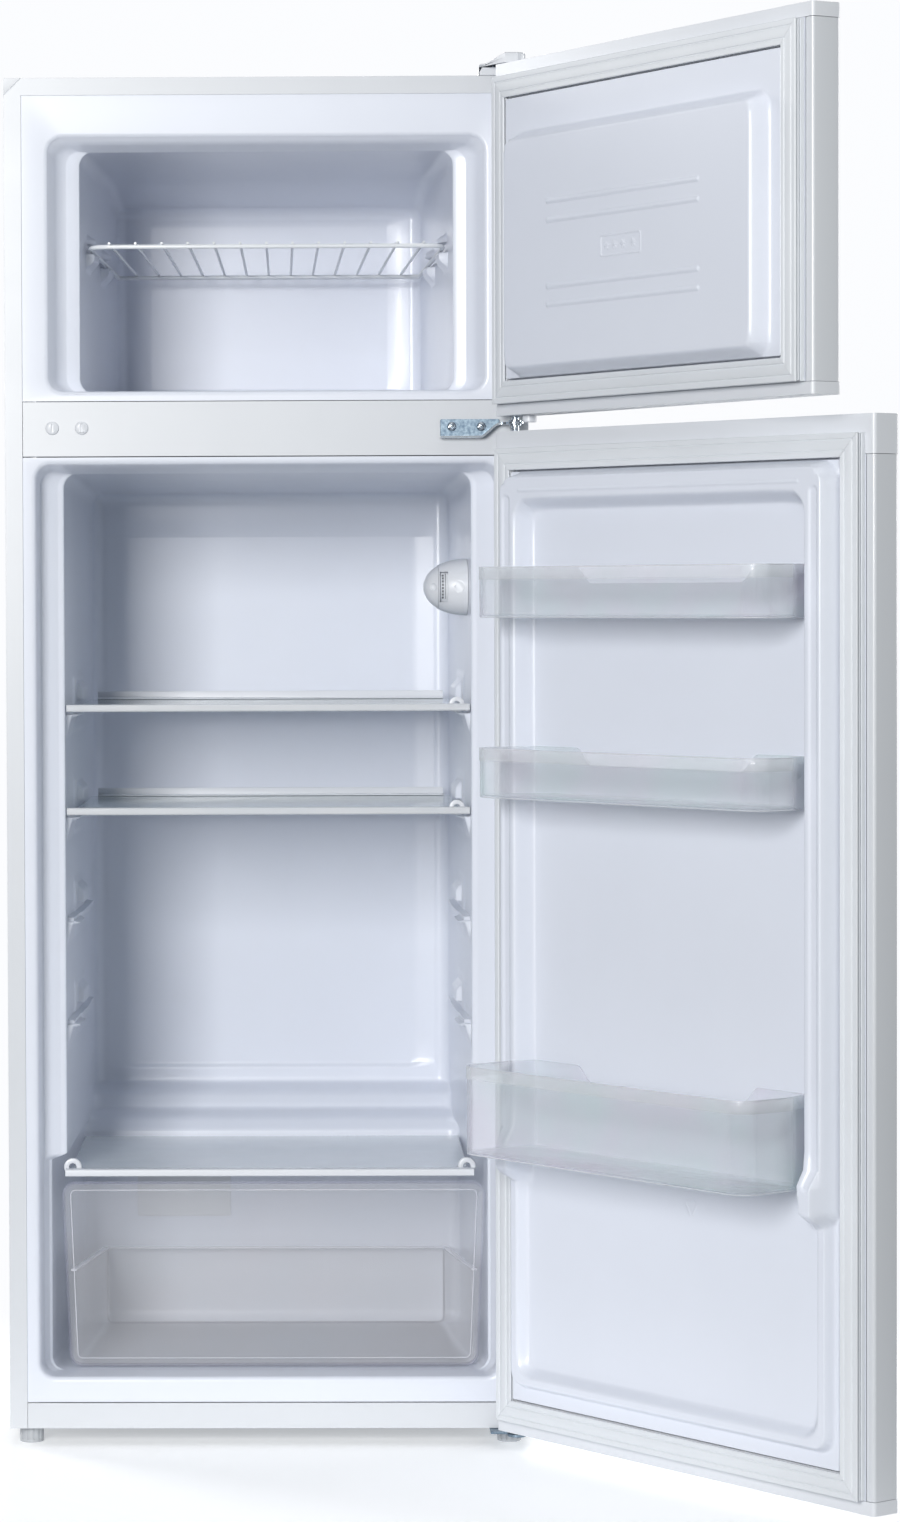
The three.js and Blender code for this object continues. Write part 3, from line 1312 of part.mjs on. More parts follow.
// The origin is on the floor, under the middle of the whole object
object.updateMatrixWorld(true);
const bounds = new THREE.Box3().setFromObject(object, true);
const centre = bounds.getCenter(new THREE.Vector3());
object.position.set(-centre.x, -centre.y, -bounds.min.z);
object.updateMatrixWorld(true);

const refrigerator = new THREE.Group();
refrigerator.add(object);
export default refrigerator;
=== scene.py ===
"""Looks of a top freezer refrigerator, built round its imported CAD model.

Shapes are written in millimetres in the cabinet's own coordinates: x = 0 is its middle,
y = 0 its front face and z = 0 the floor. A door's pieces are written as it hangs shut.
"""

import json
import math

import bmesh
import bpy
import numpy as np
from mathutils import Euler, Matrix, Vector

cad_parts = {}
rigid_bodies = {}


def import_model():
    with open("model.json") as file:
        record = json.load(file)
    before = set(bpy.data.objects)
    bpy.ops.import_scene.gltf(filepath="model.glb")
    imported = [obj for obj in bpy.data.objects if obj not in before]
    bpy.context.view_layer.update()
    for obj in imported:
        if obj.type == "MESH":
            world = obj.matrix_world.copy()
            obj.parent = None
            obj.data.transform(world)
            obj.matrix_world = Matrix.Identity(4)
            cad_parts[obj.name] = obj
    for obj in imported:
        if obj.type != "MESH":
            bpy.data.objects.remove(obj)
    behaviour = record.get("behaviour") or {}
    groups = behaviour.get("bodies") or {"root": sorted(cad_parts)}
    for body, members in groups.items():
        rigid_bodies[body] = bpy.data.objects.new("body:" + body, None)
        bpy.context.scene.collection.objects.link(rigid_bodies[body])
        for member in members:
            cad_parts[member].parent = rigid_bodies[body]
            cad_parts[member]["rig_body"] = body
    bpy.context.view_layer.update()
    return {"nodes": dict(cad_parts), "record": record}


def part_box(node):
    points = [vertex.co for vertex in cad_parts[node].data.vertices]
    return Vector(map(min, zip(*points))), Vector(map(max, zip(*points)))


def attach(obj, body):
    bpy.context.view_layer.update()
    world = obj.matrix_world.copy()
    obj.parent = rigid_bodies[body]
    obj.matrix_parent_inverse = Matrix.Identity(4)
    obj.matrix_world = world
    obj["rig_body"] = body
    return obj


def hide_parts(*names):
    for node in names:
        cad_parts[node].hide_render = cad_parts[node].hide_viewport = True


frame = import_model()
JOINTS = {joint["name"]: joint for joint in frame["record"]["behaviour"]["joints"]}

# ------------ camera

CAMERA_PLACE = (-0.1224, -4.4564, 0.879)
CAMERA_TURN, CAMERA_TILT, CAMERA_ROLL = 0.79, -1.60, 0.22  # degrees
LENS, SENSOR = 101.82654, 36  # millimetres
SHIFT = (0.134691, -0.028252)  # off the optical axis, in picture heights


def add_object(name, data):
    thing = bpy.data.objects.new(name, data)
    bpy.context.scene.collection.objects.link(thing)
    return thing


def make_camera():
    data = bpy.data.cameras.new("camera")
    camera = add_object("camera", data)
    turn = (
        Euler((0, 0, math.radians(CAMERA_TURN))).to_matrix()
        @ Euler((math.radians(CAMERA_TILT), 0, 0)).to_matrix()
        @ Euler((0, math.radians(CAMERA_ROLL), 0)).to_matrix()
        @ Euler((math.pi / 2, 0, 0)).to_matrix()
    )
    camera.matrix_world = Matrix.Translation(CAMERA_PLACE) @ turn.to_4x4()
    data.sensor_width = SENSOR
    data.lens = LENS
    data.shift_x, data.shift_y = SHIFT
    data.clip_end = 50
    bpy.context.scene.camera = camera


make_camera()

# ------------ sizes shared with the CAD

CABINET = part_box("cabinet_shell")
HALF = (CABINET[1].x - CABINET[0].x) / 2 * 1000
ORIGIN = Vector(((CABINET[0].x + CABINET[1].x) / 2, CABINET[0].y, 0))
DEPTH = (CABINET[1].y - CABINET[0].y) * 1000
BASE = CABINET[0].z * 1000
TOP = CABINET[1].z * 1000


def door_turn(joint):
    """The matrix that carries a shut door's piece to where it stands open at rest."""
    pin = Vector(JOINTS[joint]["pos_m"]) * Vector((1, 1, 0))
    opened = math.radians(-JOINTS[joint]["range_deg"][0])
    return Matrix.Translation(pin) @ Matrix.Rotation(opened, 4, "Z") @ Matrix.Translation(-pin)


PLACE = {
    "freezer_door": door_turn("freezer_door_hinge"),
    "fridge_door": door_turn("fridge_door_hinge"),
}


# ------------ mesh helpers

def build(name, body, material, verts, faces, smooth=35, replaces=(), weld=False):
    """Makes one piece from points in millimetres, rides it on a body and gives it its look."""
    points = np.asarray(verts, float) / 1000 + np.array(ORIGIN)
    turn = np.array(PLACE.get(body, Matrix.Identity(4)))
    points = points @ turn[:3, :3].T + turn[:3, 3]
    mesh = bpy.data.meshes.new(name)
    mesh.from_pydata(points.tolist(), [], [list(map(int, face)) for face in faces])
    piece = add_object(name, mesh)
    work = bmesh.new()
    work.from_mesh(mesh)
    if weld:
        bmesh.ops.remove_doubles(work, verts=work.verts, dist=1e-6)
        bmesh.ops.dissolve_degenerate(work, edges=work.edges, dist=1e-7)
    bmesh.ops.recalc_face_normals(work, faces=work.faces)
    work.to_mesh(mesh)
    work.free()
    shade(mesh, smooth)
    mesh.materials.append(material)
    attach(piece, body)
    if replaces:
        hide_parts(*replaces)
    return piece


def shade(mesh, smooth):
    mesh.shade_smooth()
    mesh.set_sharp_from_angle(angle=math.radians(smooth))


def finer(node, width, segments, look=None, smooth=40):
    """A copy of a CAD node with its sharp edges rounded, which stands for it.

    Its look is the one for the record's slot of the node, unless another is named.
    """
    source = frame["nodes"][node]
    body = source["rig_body"]
    mesh = source.data.copy()
    mesh.name = node + "_fine"
    piece = add_object(node + "_fine", mesh)
    work = bmesh.new()
    work.from_mesh(mesh)
    bmesh.ops.remove_doubles(work, verts=work.verts, dist=2e-6)
    bmesh.ops.dissolve_limit(
        work, angle_limit=math.radians(0.5), verts=work.verts, edges=work.edges
    )
    work.to_mesh(mesh)
    work.free()
    mesh.materials.clear()
    mesh.materials.append(LOOK[look or LOOK_OF[SLOTS[node]]])
    shade(mesh, smooth)
    if width:
        bevel = piece.modifiers.new("edges", "BEVEL")
        bevel.width = width / 1000
        bevel.segments = segments
        bevel.limit_method = "ANGLE"
        bevel.angle_limit = math.radians(40)
        bevel.use_clamp_overlap = True
        bevel.harden_normals = True
        apply_modifiers(piece)
    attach(piece, body)
    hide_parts(node)


def apply_modifiers(piece):
    bpy.context.view_layer.update()
    graph = bpy.context.evaluated_depsgraph_get()
    result = bpy.data.meshes.new_from_object(piece.evaluated_get(graph))
    piece.modifiers.clear()
    piece.data = result


def lines(low, high, step, features=()):
    """Grid lines from low to high, closer together near each (place, reach, spacing)."""
    found = list(np.linspace(low, high, max(2, int(round((high - low) / step)) + 1)))
    for place, reach, spacing in features:
        count = int(round(2 * reach / spacing)) + 1
        found += list(np.linspace(place - reach, place + reach, count))
    found = np.unique(np.round(np.clip(found, low, high), 3))
    keep = [found[0]]
    for value in found[1:]:
        if value - keep[-1] > 0.25:
            keep.append(value)
    keep[-1] = high
    return np.array(keep)


def grid_faces(rows, columns, start=0, closed=False):
    """Quads of a grid of points stored row by row. A closed grid joins its last column to its first."""
    faces = []
    for i in range(rows - 1):
        for j in range(columns if closed else columns - 1):
            a = start + i * columns + j
            b = start + i * columns + (j + 1) % columns
            faces.append((a, b, b + columns, a + columns))
    return faces


def capped_faces(rows, columns, start=0):
    """Faces of a closed solid whose rows of points are rings, with its two ends filled."""
    faces = grid_faces(rows, columns, start, closed=True)
    last = start + (rows - 1) * columns
    return faces + [tuple(range(start, start + columns)), tuple(range(last, last + columns))]


def looped_faces(rows, columns):
    """Faces of a ring: closed both round its section and round its length."""
    last = (rows - 1) * columns
    faces = grid_faces(rows, columns, closed=True)
    return faces + [(last + k, last + (k + 1) % columns, (k + 1) % columns, k) for k in range(columns)]


def circle(radius, count):
    turns = [2 * math.pi * k / count for k in range(count)]
    return [(radius * math.cos(turn), radius * math.sin(turn)) for turn in turns]


def step(x, low, high):
    """0 below low and 1 above high, with a smooth ramp between."""
    t = np.clip((x - low) / (high - low), 0, 1)
    return t * t * (3 - 2 * t)


def rounded_distance(x, z, half, low, high, radius, middle=0):
    """Signed distance to a rounded rectangle in X and Z, negative inside."""
    qx = np.abs(x - middle) - half + radius
    qz = np.abs(z - (low + high) / 2) - (high - low) / 2 + radius
    outside = np.hypot(np.maximum(qx, 0), np.maximum(qz, 0))
    return outside + np.minimum(np.maximum(qx, qz), 0) - radius


# ------------ materials

def node_tree(name):
    material = bpy.data.materials.new(name)
    material.use_nodes = True
    tree = material.node_tree
    shader = tree.nodes["Principled BSDF"]
    coords = tree.nodes.new("ShaderNodeTexCoord")
    return material, tree, shader, coords.outputs["Object"]


def noise(tree, coords, scale, detail=2.0):
    texture = tree.nodes.new("ShaderNodeTexNoise")
    texture.inputs["Scale"].default_value = scale
    texture.inputs["Detail"].default_value = detail
    tree.links.new(coords, texture.inputs["Vector"])
    return texture.outputs[0]


def map_range(tree, value, before, after, kind="LINEAR"):
    change = tree.nodes.new("ShaderNodeMapRange")
    change.interpolation_type = kind
    for end, place in (("Min", 0), ("Max", 1)):
        change.inputs["From " + end].default_value = before[place]
        change.inputs["To " + end].default_value = after[place]
    tree.links.new(value, change.inputs["Value"])
    return change.outputs["Result"]


def spread(tree, value, low, high):
    """Maps a noise value to a range of roughness or weight."""
    return map_range(tree, value, (0.3, 0.7), (low, high))


def blend_colour(tree, value, first, second):
    mix = tree.nodes.new("ShaderNodeMix")
    mix.data_type = "RGBA"
    mix.inputs["A"].default_value = (*first, 1)
    mix.inputs["B"].default_value = (*second, 1)
    tree.links.new(value, mix.inputs["Factor"])
    return mix.outputs["Result"]


def bump(tree, shader, value, strength, distance):
    node = tree.nodes.new("ShaderNodeBump")
    node.inputs["Strength"].default_value = strength
    node.inputs["Distance"].default_value = distance
    tree.links.new(value, node.inputs["Height"])
    tree.links.new(node.outputs["Normal"], shader.inputs["Normal"])


def surface(name, colour, shade_to, rough, grain, depth, metallic=0.0, coat=0.0, cloud=6.0):
    """A solid finish: cloudy colour, uneven gloss and a fine surface grain."""
    material, tree, shader, coords = node_tree(name)
    shader.inputs["Metallic"].default_value = metallic
    shader.inputs["Coat Weight"].default_value = coat
    shader.inputs["Coat Roughness"].default_value = 0.08
    shader.inputs["Specular IOR Level"].default_value = 0.5
    soft = spread(tree, noise(tree, coords, cloud, 3.0), 0, 1)
    tree.links.new(blend_colour(tree, soft, colour, shade_to), shader.inputs["Base Color"])
    uneven = noise(tree, coords, cloud * 3)
    tree.links.new(spread(tree, uneven, rough * 0.95, rough * 1.08), shader.inputs["Roughness"])
    bump(tree, shader, noise(tree, coords, grain), 0.12, depth)
    return material


def clear(name, colour, alpha, edge, rough, grain, depth, tint=None, start=0.0):
    """A see-through finish: denser where it is seen edge on, as thin clear plastic is."""
    material, tree, shader, coords = node_tree(name)
    soft = spread(tree, noise(tree, coords, 14, 2.0), 0, 1)
    tree.links.new(blend_colour(tree, soft, colour, tint or colour), shader.inputs["Base Color"])
    shader.inputs["IOR"].default_value = 1.5
    facing = tree.nodes.new("ShaderNodeLayerWeight")
    facing.inputs["Blend"].default_value = 0.35
    see_through = map_range(tree, facing.outputs["Facing"], (start, 1), (alpha, edge))
    tree.links.new(see_through, shader.inputs["Alpha"])
    uneven = noise(tree, coords, 30, 3.0)
    tree.links.new(spread(tree, uneven, rough * 0.7, rough * 1.4), shader.inputs["Roughness"])
    bump(tree, shader, noise(tree, coords, grain, 2.0), 0.2, depth)
    return material


LOOK = {
    "paint": surface(
        "white_paint", (0.65, 0.675, 0.715), (0.643, 0.668, 0.708), 0.30, 700, 0.00001, coat=0.2
    ),
    "plastic": surface("white_plastic", (0.71, 0.735, 0.78), (0.69, 0.715, 0.76), 0.33, 1400, 0.00001),
    "liner": surface(
        "liner_plastic", (0.74, 0.775, 0.86), (0.725, 0.76, 0.845), 0.30, 220, 0.00001, coat=0.1
    ),
    "grey": surface("grey_plastic", (0.50, 0.52, 0.55), (0.46, 0.48, 0.51), 0.5, 1500, 0.00003),
    "rubber": surface("gasket_rubber", (0.72, 0.75, 0.79), (0.69, 0.72, 0.76), 0.5, 700, 0.00002),
    # Zinc plate with its real spangle, its colour darkened well below the metal's own: a painted shade for
    # the plate's dark look.
    "zinc": surface(
        "zinc_plate", (0.30, 0.38, 0.45), (0.11, 0.16, 0.22), 0.40, 500, 0.00003, 1.0, cloud=320
    ),
    # A lit copy of the zinc: its light colour is a painted highlight on the middle hinge's flange, arm and
    # pin, the screw heads and the top hinge.
    "lit_zinc": surface(
        "zinc_painted_highlight", (0.66, 0.72, 0.78), (0.54, 0.60, 0.66), 0.22, 500, 0.00002, 1.0, cloud=200
    ),
    "mark": surface("dial_marks", (0.12, 0.13, 0.15), (0.15, 0.16, 0.18), 0.45, 900, 0.00001),
    "galvanised": surface(
        "galvanised", (0.52, 0.54, 0.56), (0.40, 0.42, 0.44), 0.42, 600, 0.00003, 1.0, cloud=60
    ),
    "black": surface("black_paint", (0.02, 0.02, 0.022), (0.035, 0.035, 0.038), 0.42, 700, 0.00006),
    "copper": surface(
        "copper", (0.72, 0.38, 0.22), (0.55, 0.28, 0.17), 0.3, 500, 0.00003, 1.0, cloud=40
    ),
    "wire": surface("coated_wire", (0.80, 0.83, 0.86), (0.76, 0.79, 0.83), 0.3, 900, 0.00001),
    "label": surface("label_film", (0.70, 0.72, 0.75), (0.64, 0.66, 0.70), 0.4, 400, 0.00001),
    "glass": clear(
        "shelf_glass", (0.74, 0.84, 0.86), 0.10, 0.75, 0.05, 60, 0.000005, (0.70, 0.82, 0.85)
    ),
    # The crisper cover's whitish base and denser alpha stand in for the glass's reflections: painted
    # reflection.
    "cover_painted_reflection": clear(
        "cover_glass", (0.90, 0.94, 0.98), 0.42, 0.85, 0.10, 60, 0.000005, (0.85, 0.91, 0.95)
    ),
    "clear": clear(
        "clear_plastic", (0.78, 0.74, 0.85), 0.09, 0.85, 0.10, 90, 0.00001, (0.70, 0.84, 0.85), 0.15
    ),
    "band": clear(
        "clear_rim", (0.88, 0.90, 0.95), 0.17, 0.90, 0.08, 90, 0.00001, (0.84, 0.88, 0.92), 0.2
    ),
    "trim": clear("clear_trim", (0.84, 0.86, 0.89), 0.66, 0.95, 0.12, 90, 0.00001, (0.80, 0.83, 0.87)),
    "drawer": clear(
        "drawer_plastic", (0.90, 0.90, 0.96), 0.12, 0.60, 0.06, 90, 0.000005, (0.86, 0.89, 0.96), 0.6
    ),
    "violet": clear(
        "drawer_edge", (0.64, 0.64, 0.84), 0.12, 0.60, 0.07, 90, 0.000005, (0.70, 0.72, 0.88), 0.3
    ),
    # Denser whitish clear plastic: the drawer's rim and bead, and the bins' edge strips, which are painted
    # highlights.
    "line": clear(
        "drawer_rim", (0.90, 0.91, 0.96), 0.50, 0.90, 0.07, 90, 0.000005, (0.80, 0.82, 0.90), 0.2
    ),
}
SLOTS = {row["node"]: row["material_slot"] for row in frame["record"]["subparts"]}
LOOK_OF = {
    "white_painted_steel": "paint", "white_plastic": "plastic", "liner_plastic": "liner",
    "grey_plastic": "grey", "gasket_rubber": "rubber", "zinc_plated_steel": "zinc",
    "galvanised_steel": "galvanised", "black_painted_steel": "black", "copper": "copper",
    "shelf_glass": "glass", "clear_plastic": "clear", "coated_wire": "wire", "label_paper": "label",
}


def dress_cad():
    for name, piece in frame["nodes"].items():
        piece.data.materials.clear()
        piece.data.materials.append(LOOK[LOOK_OF[SLOTS[name]]])


dress_cad()

# ------------ moulded cabinet liners

SHELF_LEVELS = [BASE + 749, BASE + 641, BASE + 531, BASE + 423]
LINER_FACE = 1.3
LIP = 5.0
STEP_SOFT = 1.8


def bumped(value, low, high, soft_low=2.0, soft_high=2.0):
    """1 between low and high, with soft ends outside them."""
    return step(value, low - soft_low, low) * (1 - step(value, high, high + soft_high))


def rounded_box(x, y, z, half, back, low, high, radius):
    """Moves points of a box's faces onto the same box with rounded edges, open at the front."""
    inner = np.stack([
        np.clip(x, -half + radius, half - radius),
        np.minimum(y, back - radius),
        np.clip(z, low + radius, high - radius),
    ])
    away = np.stack([x, y, z]) - inner
    length = np.maximum(np.linalg.norm(away, axis=0), 1e-9)
    return inner + away / length * radius, away / length


class Cavity:
    """A thermoformed compartment: a rounded box with drafted walls, a step and moulded lugs."""

    def __init__(self, half, low, high, back, radius, outer, xs, ys, zs, shape):
        self.size = (half, back, low, high, radius)
        self.outer = outer
        self.xs, self.ys, self.zs = xs, ys, zs
        self.shape = shape

    def rings(self):
        half, back, low, high, radius = self.size
        x = np.concatenate([self.xs[:-1], np.full(len(self.zs) - 1, half),
                            self.xs[:0:-1], np.full(len(self.zs) - 1, -half)])
        z = np.concatenate([np.full(len(self.xs) - 1, low), self.zs[:-1],
                            np.full(len(self.xs) - 1, high), self.zs[:0:-1]])
        left, right, bottom, top = self.outer
        front = LINER_FACE + LIP
        mouth, away = rounded_box(x, np.full_like(x, front), z, half, back, low, high, radius)
        rows = []
        edge = np.stack([
            left + (x + half) / (2 * half) * (right - left),
            np.full_like(x, LINER_FACE),
            bottom + (z - low) / (high - low) * (top - bottom),
        ])
        rows.append(edge)
        for turn in np.linspace(90, 0, 7)[:-1]:
            out = LIP * (1 - math.cos(math.radians(turn)))
            y = LINER_FACE + LIP * (1 - math.sin(math.radians(turn)))
            rows.append(np.stack([mouth[0] + away[0] * out, np.full_like(x, y), mouth[2] + away[2] * out]))
        for y in self.ys:
            place, _ = rounded_box(x, np.full_like(x, y), z, half, back, low, high, radius)
            rows.append(np.stack(self.shape(*place)))
        return rows

    def make(self, node):
        half, back, low, high, radius = self.size
        rows = self.rings()
        count = rows[0].shape[1]
        verts = [row.T for row in rows]
        faces = grid_faces(len(rows), count, closed=True)
        start = len(rows) * count
        x, z = np.meshgrid(self.xs, self.zs)
        place, _ = rounded_box(x.ravel(), np.full(x.size, back), z.ravel(), half, back, low, high, radius)
        verts.append(np.stack(self.shape(*place)).T)
        faces += grid_faces(len(self.zs), len(self.xs), start)
        piece = build(node + "_moulded", "cabinet", LOOK["liner"], np.concatenate(verts), faces, 50,
                      [node], weld=True)
        face_towards(piece, (0, back / 2, (low + high) / 2))
        wall = piece.modifiers.new("wall", "SOLIDIFY")
        wall.thickness = 0.0012
        wall.offset = -1
        wall.use_rim = True
        apply_modifiers(piece)
        shade(piece.data, 50)


def face_towards(piece, place):
    """Turns an open sheet's faces so that they look at a point given in millimetres."""
    target = Vector(place) / 1000 + ORIGIN
    total = sum((target - face.center).dot(face.normal) * face.area for face in piece.data.polygons)
    if total < 0:
        piece.data.flip_normals()


def fridge_liner():
    mouth_half, low, high, back = HALF - 31.6, BASE + 53.4, BASE + 999.5, DEPTH - 55
    stepped, split = 42, BASE + 277
    door_reach = 30  # how far the shut door's lining comes in
    hump = np.array([
        (0, 345), (285, 345), (291, 352), (297, 359), (300, 369), (303, 389), (310, 393),
        (319, 401), (324, 413), (328, 434), (332, 435), (2000, 435),
    ], float)
    fine = np.arange(250, 360, 0.5)
    soft = np.interp(fine, hump[:, 0], hump[:, 1])
    kernel = np.exp(-0.5 * (np.arange(-8, 9) * 0.5 / 1.6) ** 2)
    soft = np.convolve(np.pad(soft, 8, mode="edge"), kernel / kernel.sum(), "valid")

    def shape(x, y, z):
        top = 8 * np.clip((y - 4) / (stepped - 4), 0, 1)
        top = top + 12 * np.clip((y - stepped) / (back - stepped), 0, 1)
        z = z - top * step(z, high - 130, high)
        rear = np.interp(z, fine, soft)
        inside = y > stepped
        y = np.where(inside, stepped + (y - stepped) * (rear - stepped) / (back - stepped), y)
        upper = step(z, split - 3, split + 5)
        near = np.clip((y - door_reach) / (stepped - door_reach), 0, 1)
        side = 3 * np.clip(y / door_reach, 0, 1) + near * (5.4 + 14.5 * upper)
        side = side + step(y, stepped - 2, stepped + STEP_SOFT) * (2 + 1.5 * upper)
        side = side + np.clip((y - stepped) / 393, 0, 1) * (24 + (11 - 24) * upper)
        for level in SHELF_LEVELS:
            under = level - 4.4
            side = side + 6.8 * bumped(y, 66, 328, 3, 3) * bumped(z, under - 5, under, 3, 0.8)
            taper = np.clip((z - (under - 28)) / 28, 0, 1)
            side = side + 7.5 * taper * bumped(y, 60, 126, 3, 26) * (z < under - 4)
            side = side + 7 * bumped(y, 176, 246, 5, 5) * bumped(z, level + 5, level + 15, 1.2, 11)
            side = side + 1.6 * bumped(y, 150, 272, 8, 8) * bumped(z, level - 24, level + 26, 9, 9)
        x = x * (mouth_half - side) / mouth_half
        panel = rounded_distance(x, z, 176, BASE + 330, BASE + 938, 20)
        y = y + 3.2 * (1 - step(panel, -3.5, 2.5)) * (y > back - 8)
        return x, y, z

    edges = [(low, 16, 2.5), (high, 18, 2.5), (split, 8, 1.6), (307, 24, 1.4),
             (BASE + 330, 5, 1.3), (BASE + 938, 5, 1.3)]
    for level in SHELF_LEVELS:
        edges += [(level - 4.2, 2.2, 0.6), (level - 9.5, 3, 1.2), (level - 20, 10, 4),
                  (level + 4.5, 2, 0.8), (level + 20, 7, 1.8), (level - 28, 6, 2.5), (level + 30, 6, 2.5)]
    zs = lines(low, high, 22, edges)
    xs = lines(-mouth_half, mouth_half, 20, [(-mouth_half, 18, 2.5), (mouth_half, 18, 2.5),
                                             (-180, 8, 1.5), (180, 8, 1.5)])
    ys = lines(LINER_FACE + LIP, back, 16, [
        (stepped + 0.5, 3, 0.4), (door_reach, 3, 1), (62, 8, 1.6), (126, 4, 2), (148, 8, 3),
        (176, 6, 1.6), (250, 6, 1.6), (329, 4, 1.4), (back, 18, 2.2),
    ])
    outer = (-HALF + 9, HALF - 9, BASE + 27.4, BASE + 1007.4)
    Cavity(mouth_half, low, high, back, 15, outer, xs, ys, zs, shape).make("fridge_liner")


def freezer_liner():
    mouth_half, low, high, back = HALF - 45.7, BASE + 1075.6, TOP - 62, DEPTH - 84
    stepped = 35
    shelf_front, shelf_rear = 62, 372

    def shelf_at(y):
        return BASE + 1229 - 10 * (y - shelf_front) / (shelf_rear - shelf_front)

    def shape(x, y, z):
        deep = np.clip((y - stepped) / (back - stepped), 0, 1)
        near = np.clip(y / stepped, 0, 1)
        edge = step(y, stepped - 5, stepped + STEP_SOFT)
        top = 11.5 * near + 9 * deep + 17 * step(y, 250, back) ** 2
        z = z - top * step(z, high - 110, high) + 4 * deep * (1 - step(z, low, low + 60))
        side = 11 * near ** 1.3 + 19.3 * edge + 24 * deep
        for start in (92, 232):
            ledge = shelf_at(start + 46) - 2.7
            side = side + 9 * bumped(y, start, start + 46, 3, 3) * bumped(z, ledge - 5, ledge, 14, 1)
            lug = bumped(z, ledge + 12, ledge + 16, 1.5, 6)
            side = side + 8 * bumped(y, start + 14, start + 40, 4, 4) * lug
        x = x * (mouth_half - side) / mouth_half
        panel = rounded_distance(x, z, 146, low + 18, high - 52, 16)
        y = y + 2.4 * (1 - step(panel, -3, 3)) * (y > back - 6)
        return x, y, z

    middle = shelf_at(140) - 2.7
    zs = lines(low, high, 14, [(low, 18, 2.2), (high, 18, 2.2), (middle - 1, 6, 0.8), (middle - 16, 8, 2.5),
                               (middle + 14, 10, 1.6), (low + 18, 5, 1.3), (high - 52, 5, 1.3)])
    xs = lines(-mouth_half, mouth_half, 16, [(-mouth_half, 18, 2.2), (mouth_half, 18, 2.2),
                                             (-160, 14, 1.8), (160, 14, 1.8)])
    ys = lines(LINER_FACE + LIP, back, 14, [(stepped + 0.5, 3, 0.4), (92, 4, 1.4), (138, 4, 1.4),
                                            (232, 4, 1.4), (278, 4, 1.4), (back, 18, 2)])
    outer = (-HALF + 9, HALF - 9, BASE + 1065.4, TOP - 9)
    Cavity(mouth_half, low, high, back, 15, outer, xs, ys, zs, shape).make("freezer_liner")


fridge_liner()
freezer_liner()

# ------------ door liners

FACE = -12.0
PLINTH = 9.5


def door_liner(body, xs, zs, height):
    """A door's liner: a closed body under a height map in Y over a grid in X and Z."""
    node = body + "_liner"
    x, z = np.meshgrid(xs, zs)
    top = np.stack([x.ravel(), height(x.ravel(), z.ravel()), z.ravel()]).T
    columns, rows = len(xs), len(zs)
    ring = list(range(columns)) + [i * columns + columns - 1 for i in range(1, rows)]
    ring += [(rows - 1) * columns + j for j in range(columns - 2, -1, -1)]
    ring += [i * columns for i in range(rows - 2, 0, -1)]
    start = len(top)
    under = top[ring].copy()
    under[:, 1] = FACE - 0.5
    faces = grid_faces(rows, columns)
    count = len(ring)
    for k in range(count):
        faces.append((ring[k], ring[(k + 1) % count], start + (k + 1) % count, start + k))
    faces.append(tuple(start + k for k in range(count)))
    build(node + "_moulded", body, LOOK["liner"], np.concatenate([top, under]), faces, 50,
          [node])


def freezer_door_liner():
    half = HALF - 10.9
    low, high = BASE + 1047 + 11.8, BASE + 1406 - 13.9

    def height(x, z):
        plinth = rounded_distance(x, z, HALF - 35.3, BASE + 1082.3, BASE + 1367.7, 3)
        pad = rounded_distance(x, z, 215, BASE + 1088, BASE + 1325.5, 15)
        y = FACE + PLINTH * (1 - step(plinth, -1.2, 0.6))
        y = y + 18.5 * (1 - step(pad, -6.5, 6.5))
        for rib in (1254.5, 1235.5, 1170, 1152):
            bar = rounded_distance(x, z, 131, BASE + rib - 2.8, BASE + rib + 2.8, 2.7)
            y = y + 1.5 * (1 - step(bar, -2.2, 0.6))
        frame_out = rounded_distance(x, z, 35, BASE + 1192, BASE + 1214, 3.5)
        y = y + 0.8 * bumped(frame_out, -1.6, -0.8, 0.7, 0.7)
        for count in (1, 3):
            for star in range(count):
                middle = -22 if count == 1 else -4 + star * 14
                y = y + 0.7 * star_relief(x - middle, z - (BASE + 1203))
        return y

    xs = lines(-half, half, 14, [(-235, 3, 0.6), (235, 3, 0.6), (-215, 9, 1.1), (215, 9, 1.1),
                                 (0, 38, 0.8), (-131, 4, 1), (131, 4, 1), (-half, 1, 0.5), (half, 1, 0.5)])
    zs = lines(low, high, 12, [(BASE + 1082.3, 3, 0.6), (BASE + 1367.7, 3, 0.6), (BASE + 1088, 9, 1.1),
                               (BASE + 1325.5, 9, 1.1), (BASE + 1203, 13, 0.7)]
               + [(BASE + rib, 4, 0.7) for rib in (1254.5, 1235.5, 1170, 1152)])
    door_liner("freezer_door", xs, zs, height)


def star_relief(x, z):
    """A raised six-armed frost mark about 9 mm across."""
    found = np.zeros_like(x)
    for turn in (0, 60, 120):
        angle = math.radians(turn)
        along = np.abs(x * math.cos(angle) + z * math.sin(angle))
        across = np.abs(-x * math.sin(angle) + z * math.cos(angle))
        found = np.maximum(found, (1 - step(across, 0.4, 1.1)) * (1 - step(along, 3.8, 4.6)))
    return found


